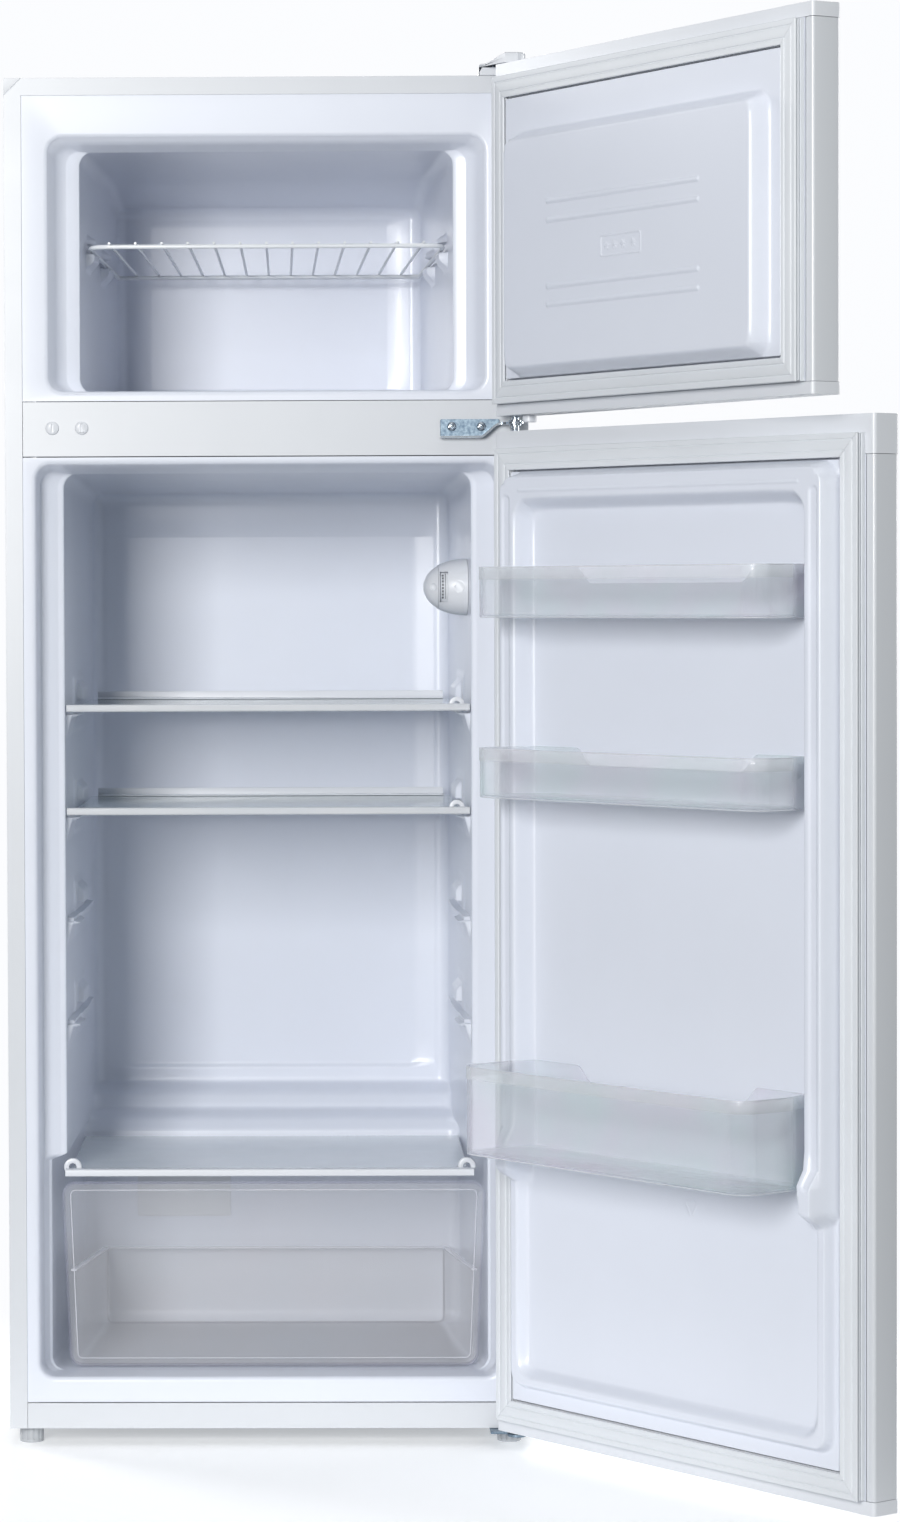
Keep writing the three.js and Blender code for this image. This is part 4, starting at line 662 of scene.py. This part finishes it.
def fridge_door_liner():
    half = HALF - 10.9
    low, high = BASE + 3 + 13.3, BASE + 1031 - 37.7
    dike_end = BASE + 263
    dike_high = BASE + 988.5
    mark = (-33, BASE + 268)

    def height(x, z):
        plinth = rounded_distance(x, z, HALF - 35.3, BASE + 40.3, BASE + 989.7, 3)
        y = FACE + PLINTH * (1 - step(plinth, -1.2, 0.6))
        base = FACE + PLINTH
        low_rim = rounded_distance(x, z, 227, BASE + 58, dike_end + 60, 17)
        y = y + (8 - base) * (1 - step(low_rim, -3.5, 2.5))
        dike = rounded_distance(x, z, 232.5, dike_end + 4, dike_high - 2, 20)
        slope = step(z, dike_end, dike_end + 22)
        y = y + 20 * (1 - step(dike, -5, 3)) * slope
        tray = rounded_distance(x, z, 202, dike_end - 60, dike_high - 33, 17)
        lower = rounded_distance(x, z, 212, BASE + 72.5, dike_end + 40, 17)
        floor = -2.0
        y = y + (floor - y) * (1 - step(tray, -7, 7)) * step(z, dike_end - 40, dike_end)
        y = np.where(z < dike_end + 30, y + (floor - y) * (1 - step(lower, -6, 5))
                     * (1 - step(z, dike_end - 4, dike_end + 22) * step(np.abs(x), 195, 212)), y)
        for side in (-1, 1):
            groove = rounded_distance(x, z, 5.5, dike_end + 42, dike_high - 24, 5, side * 219)
            y = y - 1.6 * (1 - step(groove, -2.6, 1.2))
        y = y + 1.0 * bumped(rounded_distance(x, z, 199, dike_high - 20, dike_high - 19, 0.4), -1, 0, 1, 1.5)
        return y + 0.6 * triangle_relief(x - mark[0], z - mark[1])

    xs = lines(-half, half, 16, [(-235, 3, 0.6), (235, 3, 0.6), (-230, 6, 1), (230, 6, 1), (-219, 8, 0.9),
                                 (219, 8, 0.9), (-203, 9, 1.1), (203, 9, 1.1), (mark[0], 14, 0.9)])
    zs = lines(low, high, 18, [(BASE + 40.3, 3, 0.6), (BASE + 989.7, 3, 0.6), (BASE + 58, 6, 1.1),
                               (BASE + 72, 8, 1.3), (dike_end, 12, 1.6), (dike_end + 16, 12, 1.6),
                               (dike_end + 42, 5, 1), (dike_high - 2, 7, 1), (dike_high - 20, 5, 0.9),
                               (dike_high - 33, 9, 1.3), (mark[1], 14, 0.9)])
    door_liner("fridge_door", xs, zs, height)


def triangle_relief(x, z):
    """A small raised outline triangle, 20 mm across, with a gap in each side."""
    found = np.full_like(x, 1e3)
    for turn in (90, 210, 330):
        angle = math.radians(turn)
        found = np.minimum(found, 6 + (x * math.cos(angle) + z * math.sin(angle)) * -1)
    line = 1 - step(np.abs(found - 0.9), 0.5, 1.2)
    turn = np.mod(np.degrees(np.arctan2(z, x)) + 30, 120)
    return line * (np.abs(turn - 60) > 9)


freezer_door_liner()
fridge_door_liner()

# ------------ door gaskets

GASKET_HALF = HALF - 11.5
GASKET_SIDE = [
    (0.3, 0.3), (0.3, 4.0), (2.6, 4.4), (3.0, 5.0), (1.3, 5.6), (0.8, 6.5), (1.3, 7.4), (3.0, 7.9),
    (3.0, 8.5), (0.7, 8.7), (0.1, 9.4), (0.1, 10.4), (0.8, 11.2), (4.8, 11.3), (5.4, 11.1), (5.9, 10.5),
    (6.5, 10.5), (7.0, 11.1), (7.6, 11.3),
]
GASKET_WIDTH = 23
MITRE_GAP = 0.2


def gasket(body, low, high):
    """Four mitred strips with a bellows on each side and two fine grooves along the top."""
    profile = GASKET_SIDE + [(GASKET_WIDTH - inset, rise) for inset, rise in reversed(GASKET_SIDE)]
    verts, faces = [], []
    for side in range(4):
        start = len(verts)
        for end in (0, 1):
            for inset, rise in profile:
                along = inset + MITRE_GAP
                x = (-GASKET_HALF + along, GASKET_HALF - along)[end]
                z = (low + along, high - along)[end]
                place = [(x, low + inset), (GASKET_HALF - inset, z), (x, high - inset),
                         (-GASKET_HALF + inset, z)][side]
                verts.append((place[0], FACE + rise, place[1]))
        faces += capped_faces(2, len(profile), start)
    node = body + "_gasket"
    build(node + "_bellows", body, LOOK["rubber"], verts, faces, 38, [node])


gasket("freezer_door", BASE + 1058.5, BASE + 1391.5)
gasket("fridge_door", BASE + 16.5, BASE + 1013.5)

# ------------ door skins and caps

for node in ("freezer_door_shell", "fridge_door_shell"):
    finer(node, 0.35, 2)
for node in ("freezer_door_top_cap", "freezer_door_bottom_cap", "fridge_door_bottom_cap"):
    finer(node, 0.7, 3)
finer("fridge_door_top_cap", 1.6, 4)
finer("door_stop", 0.6, 3)

# ------------ clear door bins

BIN_HALF = HALF - 66.5
BIN_REAR = BIN_HALF - 9
BIN_CORNER = 20
BIN_TURN = 28.0
BIN_WALL = 2.0
BIN_BAND = 13.0
EAR = BIN_HALF - 84
EAR_RUN = 12
BIN_DIP = 17.0


def bin_ring(front, grow):
    """A bin's plan outline, moved outward by grow, with the same points for every grow."""
    centre = BIN_HALF - BIN_CORNER
    rows = []
    back = lines(-BIN_REAR, BIN_REAR, 30, [(-EAR, EAR_RUN + 2, 1.8), (EAR, EAR_RUN + 2, 1.8)])
    rows += [(x * (BIN_REAR + grow) / BIN_REAR, -grow) for x in back]
    for share in np.linspace(0, 1, 6)[1:]:
        rows.append((BIN_REAR + (BIN_HALF - BIN_REAR) * share + grow, BIN_TURN * share - grow * (1 - share)))
    for y in np.linspace(BIN_TURN, front - BIN_CORNER, 5)[1:-1]:
        rows.append((BIN_HALF + grow, y))
    for angle in np.linspace(0, 90, 13):
        turn = math.radians(angle)
        rows.append((centre + (BIN_CORNER + grow) * math.cos(turn),
                     front - BIN_CORNER + (BIN_CORNER + grow) * math.sin(turn)))
    half_ring = np.array(rows[len(back):])
    mirrored = half_ring[::-1] * (-1, 1)
    return np.concatenate([np.array(rows[:len(back)]), half_ring, mirrored])


def door_bin(node, low, high, front):
    """A clear bin with its raised rim band, and whiter strips along its top and bottom edges that are
    painted highlights.
    """
    name = node + "_moulded"
    rest = bin_ring(front, 0)
    x, y = rest.T
    ear = step(np.abs(x), EAR - EAR_RUN, EAR + EAR_RUN)
    top = np.where(y < 1, high - BIN_DIP * (1 - ear), high)
    levels = [
        (low, -1.5), (low + 0.4, -0.5), (low + 1.5, 0), (high - BIN_BAND, 0), (high - 0.7, 0),
        (high - 0.1, -0.5), (high, -1.0), (high - 0.1, 0.5 - BIN_WALL), (high - 0.7, -BIN_WALL),
        (low + BIN_WALL + 2.5, -BIN_WALL), (low + BIN_WALL + 0.8, -BIN_WALL - 0.6),
        (low + BIN_WALL, -BIN_WALL - 2.2),
    ]
    verts = []
    for z, grow in levels:
        ring = bin_ring(front, grow)
        verts.append(np.column_stack([ring[:, 0], ring[:, 1], np.minimum(z, top - (high - z) * 0.02)]))
    faces = capped_faces(len(levels), len(rest))
    build(name, "fridge_door", LOOK["clear"], np.concatenate(verts), faces, 45, [node])
    band = high - BIN_BAND
    bin_strip(name + "_rim", "band", front, [
        (0.05, band), (0.5, band), (0.7, band + 0.25), (0.7, high - 0.5), (0.4, high - 0.1),
        (0.05, high - 0.1),
    ])
    # The whiter strips just under the rim and along the bottom edge are painted highlights, where light
    # glints along the bin's edges.
    for edge, bottom, top in (("top", high - 1.3, high - 0.4), ("low", low + 0.6, low + 1.4)):
        corners = [(-0.5, bottom), (-0.2, bottom), (-0.2, top), (-0.5, top)]
        bin_strip(name + "_%s_edge" % edge, "line", front, corners)


def bin_strip(name, look, front, section):
    """A thin strip along a bin's sides and front, with a section of (outward, z) points."""
    kept = [k for k, place in enumerate(bin_ring(front, 0)) if place[1] > BIN_TURN - 0.1]
    rows = [np.column_stack([bin_ring(front, grow)[kept], np.full(len(kept), z)]) for grow, z in section]
    points = np.stack(rows, axis=1).reshape(-1, 3)
    faces = capped_faces(len(kept), len(section))
    build(name, "fridge_door", LOOK[look], points, faces, 45)


door_bin("door_bin_1", BASE + 841, BASE + 892, 76)
door_bin("door_bin_2", BASE + 661, BASE + 711, 76)
door_bin("door_bin_3", BASE + 304, BASE + 393, 94)

# ------------ shelves and crisper

for name in ("upper_shelf", "lower_shelf"):
    finer(name + "_glass", 0.6, 3)
    finer(name + "_front_trim", 0.9, 3, look="trim")
    finer(name + "_rear_trim", 0.5, 3)
# The crisper cover glass takes the whitish cover look: painted reflection.
finer("crisper_cover_glass", 0.6, 3, look="cover_painted_reflection")
finer("crisper_cover_trim", 0.9, 3)

BOSS_FRONT = 60
DRAWER_X = 4.0
DRAWER_LOW = BASE + 54.4
TUB_FRONT, TUB_BACK = 61.2, 327.0
TUB_WALL = 2.4


def panel_outline(grow):
    """The drawer's front outline in X and Z: wider at its top, with round corners."""
    radius, points = 14, []
    for side_x, side_z, start in ((1, -1, -90), (1, 1, 0), (-1, 1, 90), (-1, -1, 180)):
        middle_x = side_x * ((222.0 if side_z > 0 else 215.0) - radius)
        middle_z = BASE + 249 - radius if side_z > 0 else DRAWER_LOW + radius
        for angle in np.radians(np.linspace(start, start + 90, 12)):
            points.append((DRAWER_X + middle_x + (radius + grow) * math.cos(angle),
                           middle_z + (radius + grow) * math.sin(angle)))
    return np.array(points)


def hoop(name, material, section, replaces=()):
    """A band that follows the drawer's outline, with a section of (outward, y) points."""
    verts = [(p[0], y, p[1]) for grow, y in section for p in panel_outline(grow)]
    faces = looped_faces(len(section), len(verts) // len(section))
    build(name, "crisper", material, verts, faces, 40, replaces)


def tub_rim(y):
    return BASE + 157 - 17 * (y - 60.4) / (TUB_BACK - 60.4)


def tub_half(y):
    return 210 - 22 * (y - 60.4) / (TUB_BACK - 60.4)


def tub_section(y, grow):
    half, low, radius = tub_half(y) + grow, DRAWER_LOW - grow, 8 + grow
    points = [(-half, tub_rim(y) - 2.4)]
    for side, start in ((-1, 180), (1, 270)):
        for angle in np.radians(np.linspace(start, start + 90, 8)):
            points.append((side * (half - radius) + radius * math.cos(angle),
                           low + radius + radius * math.sin(angle)))
    points.append((half, tub_rim(y) - 2.4))
    return [(DRAWER_X + x, y, z) for x, z in points]


def drawer_tub():
    """Drafted side walls and a floor, then the rear wall behind them."""
    verts = []
    depths = np.linspace(TUB_FRONT, TUB_BACK - TUB_WALL, 6)
    for y in depths:
        verts += tub_section(y, 0) + tub_section(y, -TUB_WALL)[::-1]
    faces = capped_faces(len(depths), len(verts) // len(depths))
    build("crisper_drawer_walls", "crisper", LOOK["drawer"], verts, faces, 40)
    rear_rings = [(TUB_BACK - TUB_WALL + 0.05, 0), (TUB_BACK - 0.6, 0), (TUB_BACK, -0.6)]
    verts = [place for y, grow in rear_rings for place in tub_section(y, grow)]
    faces = capped_faces(3, len(verts) // 3)
    build("crisper_drawer_rear", "crisper", LOOK["drawer"], verts, faces, 40)


def drawer_rim():
    """The rolled rim that runs down both sides and along the rear of the tub."""
    front_half, back_half = tub_half(TUB_FRONT), tub_half(TUB_BACK)
    outer = [(-front_half - 3.5, TUB_FRONT), (-back_half - 3.5, TUB_BACK + 3.5),
             (back_half + 3.5, TUB_BACK + 3.5), (front_half + 3.5, TUB_FRONT)]
    inner = [(-front_half + 2.4, TUB_FRONT), (-back_half + 2.4, TUB_BACK - 2.4),
             (back_half - 2.4, TUB_BACK - 2.4), (front_half - 2.4, TUB_FRONT)]
    section = [(0, -1.8), (0, -0.4), (0.07, 0), (0.93, 0), (1, -0.4), (1, -1.8), (0.93, -2.2), (0.07, -2.2)]
    verts = []
    for first, second in zip(outer, inner):
        for share, rise in section:
            x, y = (first[k] + (second[k] - first[k]) * share for k in (0, 1))
            verts.append((DRAWER_X + x, y, tub_rim(y) + rise))
    faces = capped_faces(4, len(section))
    build("crisper_drawer_rim", "crisper", LOOK["line"], verts, faces, 40)


def drawer_sheet():
    """The flat panel inside the drawer's front lip."""
    verts = [(p[0], y, p[1]) for y in (58.7, 60.9) for p in panel_outline(-2.3)]
    faces = capped_faces(2, len(verts) // 2)
    build("crisper_drawer_sheet", "crisper", LOOK["drawer"], verts, faces, 40)


hoop("crisper_drawer_lip", LOOK["violet"], [
    (-0.5, 58), (-1.7, 58), (-2.2, 58.5), (-2.2, 66.6), (-1.8, 67), (-0.4, 67), (0, 66.6), (0, 58.5),
], ["crisper_drawer"])
hoop("crisper_drawer_bead", LOOK["line"], [(-8.2, 58.65), (-8.5, 58.1), (-9.0, 58.1), (-9.3, 58.65)])
drawer_tub()
drawer_rim()
drawer_sheet()


def end_boss(name, x, z, radius, depth):
    """A white ring with a rolled rim, lying along Y."""
    profile = [(0.42, 0.6), (0.46, 0.1), (0.56, 0), (0.92, 0), (0.98, 0.3), (1, 1.0), (1, depth - 0.6),
               (0.96, depth), (0.46, depth), (0.42, depth - 0.6)]
    verts = [(x + dx, BOSS_FRONT + inward, z + dz)
             for share, inward in profile for dx, dz in circle(share * radius, 40)]
    faces = looped_faces(len(profile), 40)
    build(name, "cabinet", LOOK["plastic"], verts, faces, 40)


for side, label in ((-1, "left"), (1, "right")):
    end_boss("crisper_cover_boss_" + label, side * (HALF - 63), BASE + 264.5, 9.2, 7)
for index, level in enumerate(SHELF_LEVELS[:2]):
    end_boss("shelf_boss_%d" % (index + 1), HALF - 72.5, level + 0.5, 8.2, 5)

# ------------ hinges, screws and small parts

MULLION_MID = BASE + 1037.5
HINGE_LOW = MULLION_MID - 12.2
HINGE_HIGH = MULLION_MID + 7.6
ARM_LOW = (BASE + 1031 + BASE + 1047) / 2 - 0.25
ARM = 2.5
ARM_HIGH = ARM_LOW + ARM
POINT = 0.01  # the radius that stands for a point on a turned piece's axis
PLATE_SMOOTH = 28
PIN = (HALF - 15, -27.0)
HINGE_LEFT, HINGE_RIGHT = HALF - 91, HALF - 6


def ribbon(name, path, y_front, y_back, thick):
    """A bent strip: a smooth line in X and Z, with a thickness, drawn from one Y to another."""
    path = np.asarray(path, float)
    along = np.gradient(path, axis=0)
    along /= np.linalg.norm(along, axis=1)[:, None]
    across = np.column_stack([-along[:, 1], along[:, 0]])
    soft = 0.35
    section = [(y_front + soft, 0), (y_front, soft), (y_front, thick - soft), (y_front + soft, thick),
               (y_back, thick), (y_back, 0)]
    points = [(p[0] + n[0] * rise, y, p[1] + n[1] * rise)
              for p, n in zip(path, across) for y, rise in section]
    faces = capped_faces(len(path), len(section))
    build(name, "cabinet", LOOK["lit_zinc"], points, faces, PLATE_SMOOTH)


def middle_hinge():
    """A screw plate whose lower edge is turned forward and rises in an S to the pin's arm."""
    bend = (HALF - 50, HALF - 29)
    rise = np.linspace(*bend, 18)
    lift = step(rise, *bend) * (ARM_LOW - HINGE_LOW)
    path = [(x, HINGE_LOW) for x in np.linspace(HINGE_LEFT, HALF - 51, 8)]
    path += list(zip(rise, HINGE_LOW + lift))
    path += [(x, ARM_LOW) for x in np.linspace(HALF - 27, HINGE_RIGHT, 6)]
    # The flange, arm and pin take the lit copy of the zinc, a painted highlight; the plate takes the
    # darkened zinc, a painted shade.
    ribbon("middle_hinge_flange", path, -11, -0.4, ARM)
    outline = [(HINGE_LEFT, HINGE_LOW + 0.4), (HINGE_LEFT, HINGE_HIGH - 1), (HINGE_LEFT + 1, HINGE_HIGH),
               (HALF - 31, HINGE_HIGH), (HALF - 30, HINGE_HIGH - 1), (HALF - 30, ARM_LOW + 0.4)]
    outline += [(x, z + 0.4) for x, z in path[::-1] if x < HALF - 30]
    slab_piece("middle_hinge_plate", LOOK["zinc"], outline, -2.8, -0.3, ["middle_hinge"])
    arm = [(PIN[0] + 9 * math.cos(math.radians(a)), PIN[1] + 9 * math.sin(math.radians(a)))
           for a in np.linspace(-180, 0, 19)]
    arm += [(HINGE_RIGHT, -11.2), (HALF - 28, -11.2), (HALF - 28, -20), (PIN[0] - 9, -24)]
    flat_piece("middle_hinge_arm", arm, ARM_LOW, ARM_HIGH)
    turned("middle_hinge_pin", PIN, [
        (0, BASE + 1020), (3.2, BASE + 1020), (4, BASE + 1021), (4, ARM_LOW - 1.6), (6.2, ARM_LOW - 1.6),
        (6.5, ARM_LOW - 1.3), (6.5, ARM_HIGH + 1.3), (6.2, ARM_HIGH + 1.6), (4, ARM_HIGH + 1.6),
        (4, BASE + 1055), (3.2, BASE + 1056), (0, BASE + 1056),
    ])


def soften(outline, soft=0.3):
    """An outline, and the same outline drawn in towards its middle by soft."""
    points = np.asarray(outline, float)
    inward = np.mean(points, axis=0) - points
    inward = inward / np.linalg.norm(inward, axis=1)[:, None] * soft
    return points, points + inward, soft


def slab_piece(name, material, outline, y_front, y_back, replaces=()):
    """A plate with a softened front edge, from an outline in X and Z."""
    points, drawn_in, soft = soften(outline)
    rows = [(drawn_in, y_front), (points, y_front + soft), (points, y_back)]
    verts = [(p[0], y, p[1]) for ring, y in rows for p in ring]
    faces = capped_faces(len(rows), len(points))
    build(name, "cabinet", material, verts, faces, PLATE_SMOOTH, replaces)


def flat_piece(name, outline, low, high):
    """A level plate with softened edges, from an outline in X and Y."""
    points, drawn_in, soft = soften(outline)
    rows = [(drawn_in, low), (points, low + soft), (points, high - soft), (drawn_in, high)]
    verts = [(p[0], p[1], z) for ring, z in rows for p in ring]
    faces = capped_faces(len(rows), len(points))
    build(name, "cabinet", LOOK["lit_zinc"], verts, faces, PLATE_SMOOTH)


def turned(name, centre, profile, count=40):
    """A turned piece on an upright axis, from (radius, height) pairs."""
    verts = [(centre[0] + dx, centre[1] + dy, z)
             for radius, z in profile for dx, dy in circle(max(radius, POINT), count)]
    faces = capped_faces(len(profile), count)
    build(name, "cabinet", LOOK["lit_zinc"], verts, faces, 40)


def pan_screw(node, x):
    """A pan head with a rolled rim and a cross recess pressed into it."""
    radius, tall, count = 4.8, 2.6, 48
    base = -2.9
    rings = np.array([0, 0.35, 0.7, 1.0, 1.3, 1.6, 2.0, 2.6, 3.4, 4.1, 4.55, 4.8])
    verts = []
    for reach in rings:
        rise = tall * math.sqrt(max(0, 1 - (reach / radius) ** 2.6))
        for dx, dz in circle(max(reach, POINT), count):
            thin, wide = min(abs(dx), abs(dz)), max(abs(dx), abs(dz))
            sunk = 1.3 * (1 - step(thin, 0.35, 0.75)) * (1 - step(wide, 2.1, 2.8))
            verts.append((x + dx, base - rise + sunk, MULLION_MID + dz))
    for radius_back, y in ((4.8, -2.85), (2.9, -2.85), (2.9, 5.5), (1.5, 6.5)):
        verts += [(x + dx, y, MULLION_MID + dz) for dx, dz in circle(radius_back, count)]
    faces = capped_faces(len(verts) // count, count)
    # The screw heads take the lit copy of the zinc: a painted highlight.
    build(node + "_head", "cabinet", LOOK["lit_zinc"], verts, faces, 30, [node])


middle_hinge()
for index, offset in enumerate((HALF - 79.2, HALF - 48.8)):
    pan_screw("middle_hinge_screw_%d" % (index + 1), offset)
for index in (1, 2):
    finer("screw_plug_%d" % index, 0.35, 3)
finer("bottom_hinge", 0.35, 2)
# The top hinge takes the lit copy of the zinc: a painted highlight.
finer("top_hinge", 0.35, 2, look="lit_zinc")


def top_cover():
    """A moulded cap over the top hinge, with a skirt down to the door and a closed underside."""
    outline = np.array([
        (HALF - 50, 50.8), (HALF - 50, 24), (HALF - 50, -0.5), (HALF - 44, -6), (HALF - 25.5, -37.8),
        (HALF - 22, -38), (HALF - 12, -38), (HALF - 6.5, -34), (HALF - 4, -28), (HALF - 3, 0.2),
        (HALF - 3, 24), (HALF - 3, 50.8),
    ])
    middle = np.array([HALF - 20, 8.0])
    inward = middle - outline
    inward /= np.linalg.norm(inward, axis=1)[:, None]
    x, y = outline.T
    floor = np.where(y < 0.5, BASE + 1406.8, TOP + 0.3)
    crown = TOP + 19.3 - 14 * step(-x, -(HALF - 26), -(HALF - 52)) - 9 * step(y, 18, 52)
    crown = np.maximum(crown, floor + 3)
    rows = [
        (0.0, floor), (0.0, (floor + crown) / 2), (0.0, crown - 2.4), (0.7, crown - 0.7), (2.4, crown),
        (12, np.minimum(crown + 2.2, TOP + 19.3)),
    ]
    verts = [(px, py, pz) for inset, level in rows
             for (px, py), pz in zip(outline + inward * inset, level)]
    count = len(outline)
    faces = grid_faces(len(rows), count, closed=True)
    start = len(verts)
    verts.append((middle[0], middle[1], TOP + 18.8))
    top_row = (len(rows) - 1) * count
    for k in range(count):
        faces.append((top_row + k, top_row + (k + 1) % count, start))
    roof = len(verts)
    verts += [(px, py, TOP + 11.6) for px, py in outline + inward * 1.6]
    for k in range(count):
        after = (k + 1) % count
        faces.append((k, roof + k, roof + after, after))
    faces.append(tuple(roof + k for k in range(count)))
    build("top_hinge_cover_moulded", "cabinet", LOOK["plastic"], verts, faces, 32,
          ["top_hinge_cover"])


top_cover()
slab_piece("top_hinge_cover_front", LOOK["plastic"], [
    (HALF - 49.5, TOP + 0.3), (HALF - 49.5, TOP + 4), (HALF - 47, TOP + 8.2), (HALF - 4, TOP + 8.2),
    (HALF - 3.2, TOP + 7.4), (HALF - 3.2, TOP + 0.3),
], -0.4, 0.7, ())


def dial_marks():
    """A row of short raised dashes and one long line round the thermostat's dial."""
    verts, faces = [], []
    radius = 19.62
    centre_y, centre_z = 108.0, BASE + 872.5
    spans = [(-38 + 10.4 * k, -38 + 10.4 * k + 7.0, HALF - 86.6, HALF - 84.8) for k in range(8)]
    spans.append((-40, 46, HALF - 83.2, HALF - 82.7))
    for low, high, x0, x1 in spans:
        angles = np.radians(np.linspace(low, high, 14))
        start = len(verts)
        for angle in angles:
            for reach, x in ((radius - 0.4, x0), (radius, x0), (radius, x1), (radius - 0.4, x1)):
                verts.append((x, centre_y - reach * math.cos(angle), centre_z + reach * math.sin(angle)))
        faces += capped_faces(len(angles), 4, start)
    build("thermostat_dial_marks", "temperature_knob", LOOK["mark"], verts, faces, 40)


dial_marks()
finer("thermostat_housing", 0.4, 2)
finer("thermostat_knob", 0.4, 2)
finer("freezer_wire_shelf", 0, 1, smooth=70)
for node in ("cabinet_shell", "kick_rail", "mullion_rail"):
    finer(node, 0.5, 3)
for node in ("foot_front_left", "foot_front_right", "foot_rear_left", "foot_rear_right"):
    finer(node, 0.3, 2)
for node in ("back_panel", "base_plate", "compressor_bulkhead"):
    finer(node, 0.3, 2)
for node in ("terminal_box", "drip_tray", "compressor", "filter_drier"):
    finer(node, 0.5, 3)
finer("condenser", 0, 1, smooth=70)
finer("rating_label", 0.15, 1)


# ------------ stage and light

FLOOR_REACH = 3.2  # metres, from the middle to the rim
FLOOR_FADE = (0.25, 1.0)  # metres from the middle, where it starts and ends fading

def make_stage():
    """A round pale floor that fades into the white of the studio."""
    mesh = bpy.data.meshes.new("floor")
    rim = [(x, y, 0) for x, y in circle(FLOOR_REACH, 96)]
    mesh.from_pydata(rim, [], [tuple(range(len(rim)))])
    floor = add_object("floor", mesh)
    material, tree, shader, coords = node_tree("floor_paint")
    soft = spread(tree, noise(tree, coords, 3, 3.0), 0, 1)
    pale = blend_colour(tree, soft, (0.93, 0.94, 0.95), (0.90, 0.91, 0.92))
    tree.links.new(pale, shader.inputs["Base Color"])
    shader.inputs["Roughness"].default_value = 0.6
    shader.inputs["Emission Color"].default_value = (0.97, 0.98, 1.0, 1)
    shader.inputs["Emission Strength"].default_value = 0.3
    length = tree.nodes.new("ShaderNodeVectorMath")
    length.operation = "LENGTH"
    tree.links.new(coords, length.inputs[0])
    fade = map_range(tree, length.outputs["Value"], FLOOR_FADE, (1, 0), "SMOOTHSTEP")
    tree.links.new(fade, shader.inputs["Alpha"])
    mesh.materials.append(material)


def area_light(name, place, target, size, power, colour=(1, 1, 1)):
    data = bpy.data.lights.new(name, "AREA")
    data.shape = "RECTANGLE"
    data.size, data.size_y = size
    data.energy = power
    data.color = colour
    lamp = add_object(name, data)
    lamp.location = place
    lamp.rotation_euler = (Vector(target) - Vector(place)).to_track_quat("-Z", "Y").to_euler()


def make_light():
    """A pale room all round, a strong light from the front left, and one on each other side."""
    world = bpy.data.worlds.new("studio")
    bpy.context.scene.world = world
    world.use_nodes = True
    tree = world.node_tree
    sky = tree.nodes["Background"]
    sky.inputs["Color"].default_value = (0.86, 0.92, 1.0, 1)
    sky.inputs["Strength"].default_value = 0.17
    seen = tree.nodes.new("ShaderNodeBackground")
    seen.inputs["Color"].default_value = (0.97, 0.98, 1.0, 1)
    seen.inputs["Strength"].default_value = 1.0
    path = tree.nodes.new("ShaderNodeLightPath")
    mix = tree.nodes.new("ShaderNodeMixShader")
    tree.links.new(path.outputs["Is Camera Ray"], mix.inputs["Fac"])
    tree.links.new(sky.outputs["Background"], mix.inputs[1])
    tree.links.new(seen.outputs["Background"], mix.inputs[2])
    tree.links.new(mix.outputs["Shader"], tree.nodes["World Output"].inputs["Surface"])
    area_light("key", (-1.5, -4.6, 1.65), (0, 0, 0.85), (1.3, 1.6), 188, (1.0, 0.99, 0.97))
    area_light("fill", (2.6, -2.9, 1.2), (0.2, 0, 0.7), (1.2, 1.6), 9, (0.97, 1.0, 0.88))
    area_light("top", (0.2, -0.6, 3.6), (0, 0, 0), (2.6, 2.6), 18)
    area_light("left_side", (-3.0, 2.6, 1.7), (-0.4, 0.3, 0.7), (1.2, 2.0), 75)
    area_light("right_side", (3.8, 1.6, 1.7), (0.2, 0.1, 0.7), (1.8, 2.0), 85)
    area_light("rear", (0.2, 4.2, 1.8), (-0.2, 0.5, 0.7), (2.0, 2.0), 85)


make_stage()
make_light()
bpy.context.scene.view_settings.view_transform = "Standard"
bpy.context.scene.cycles.use_denoising = True
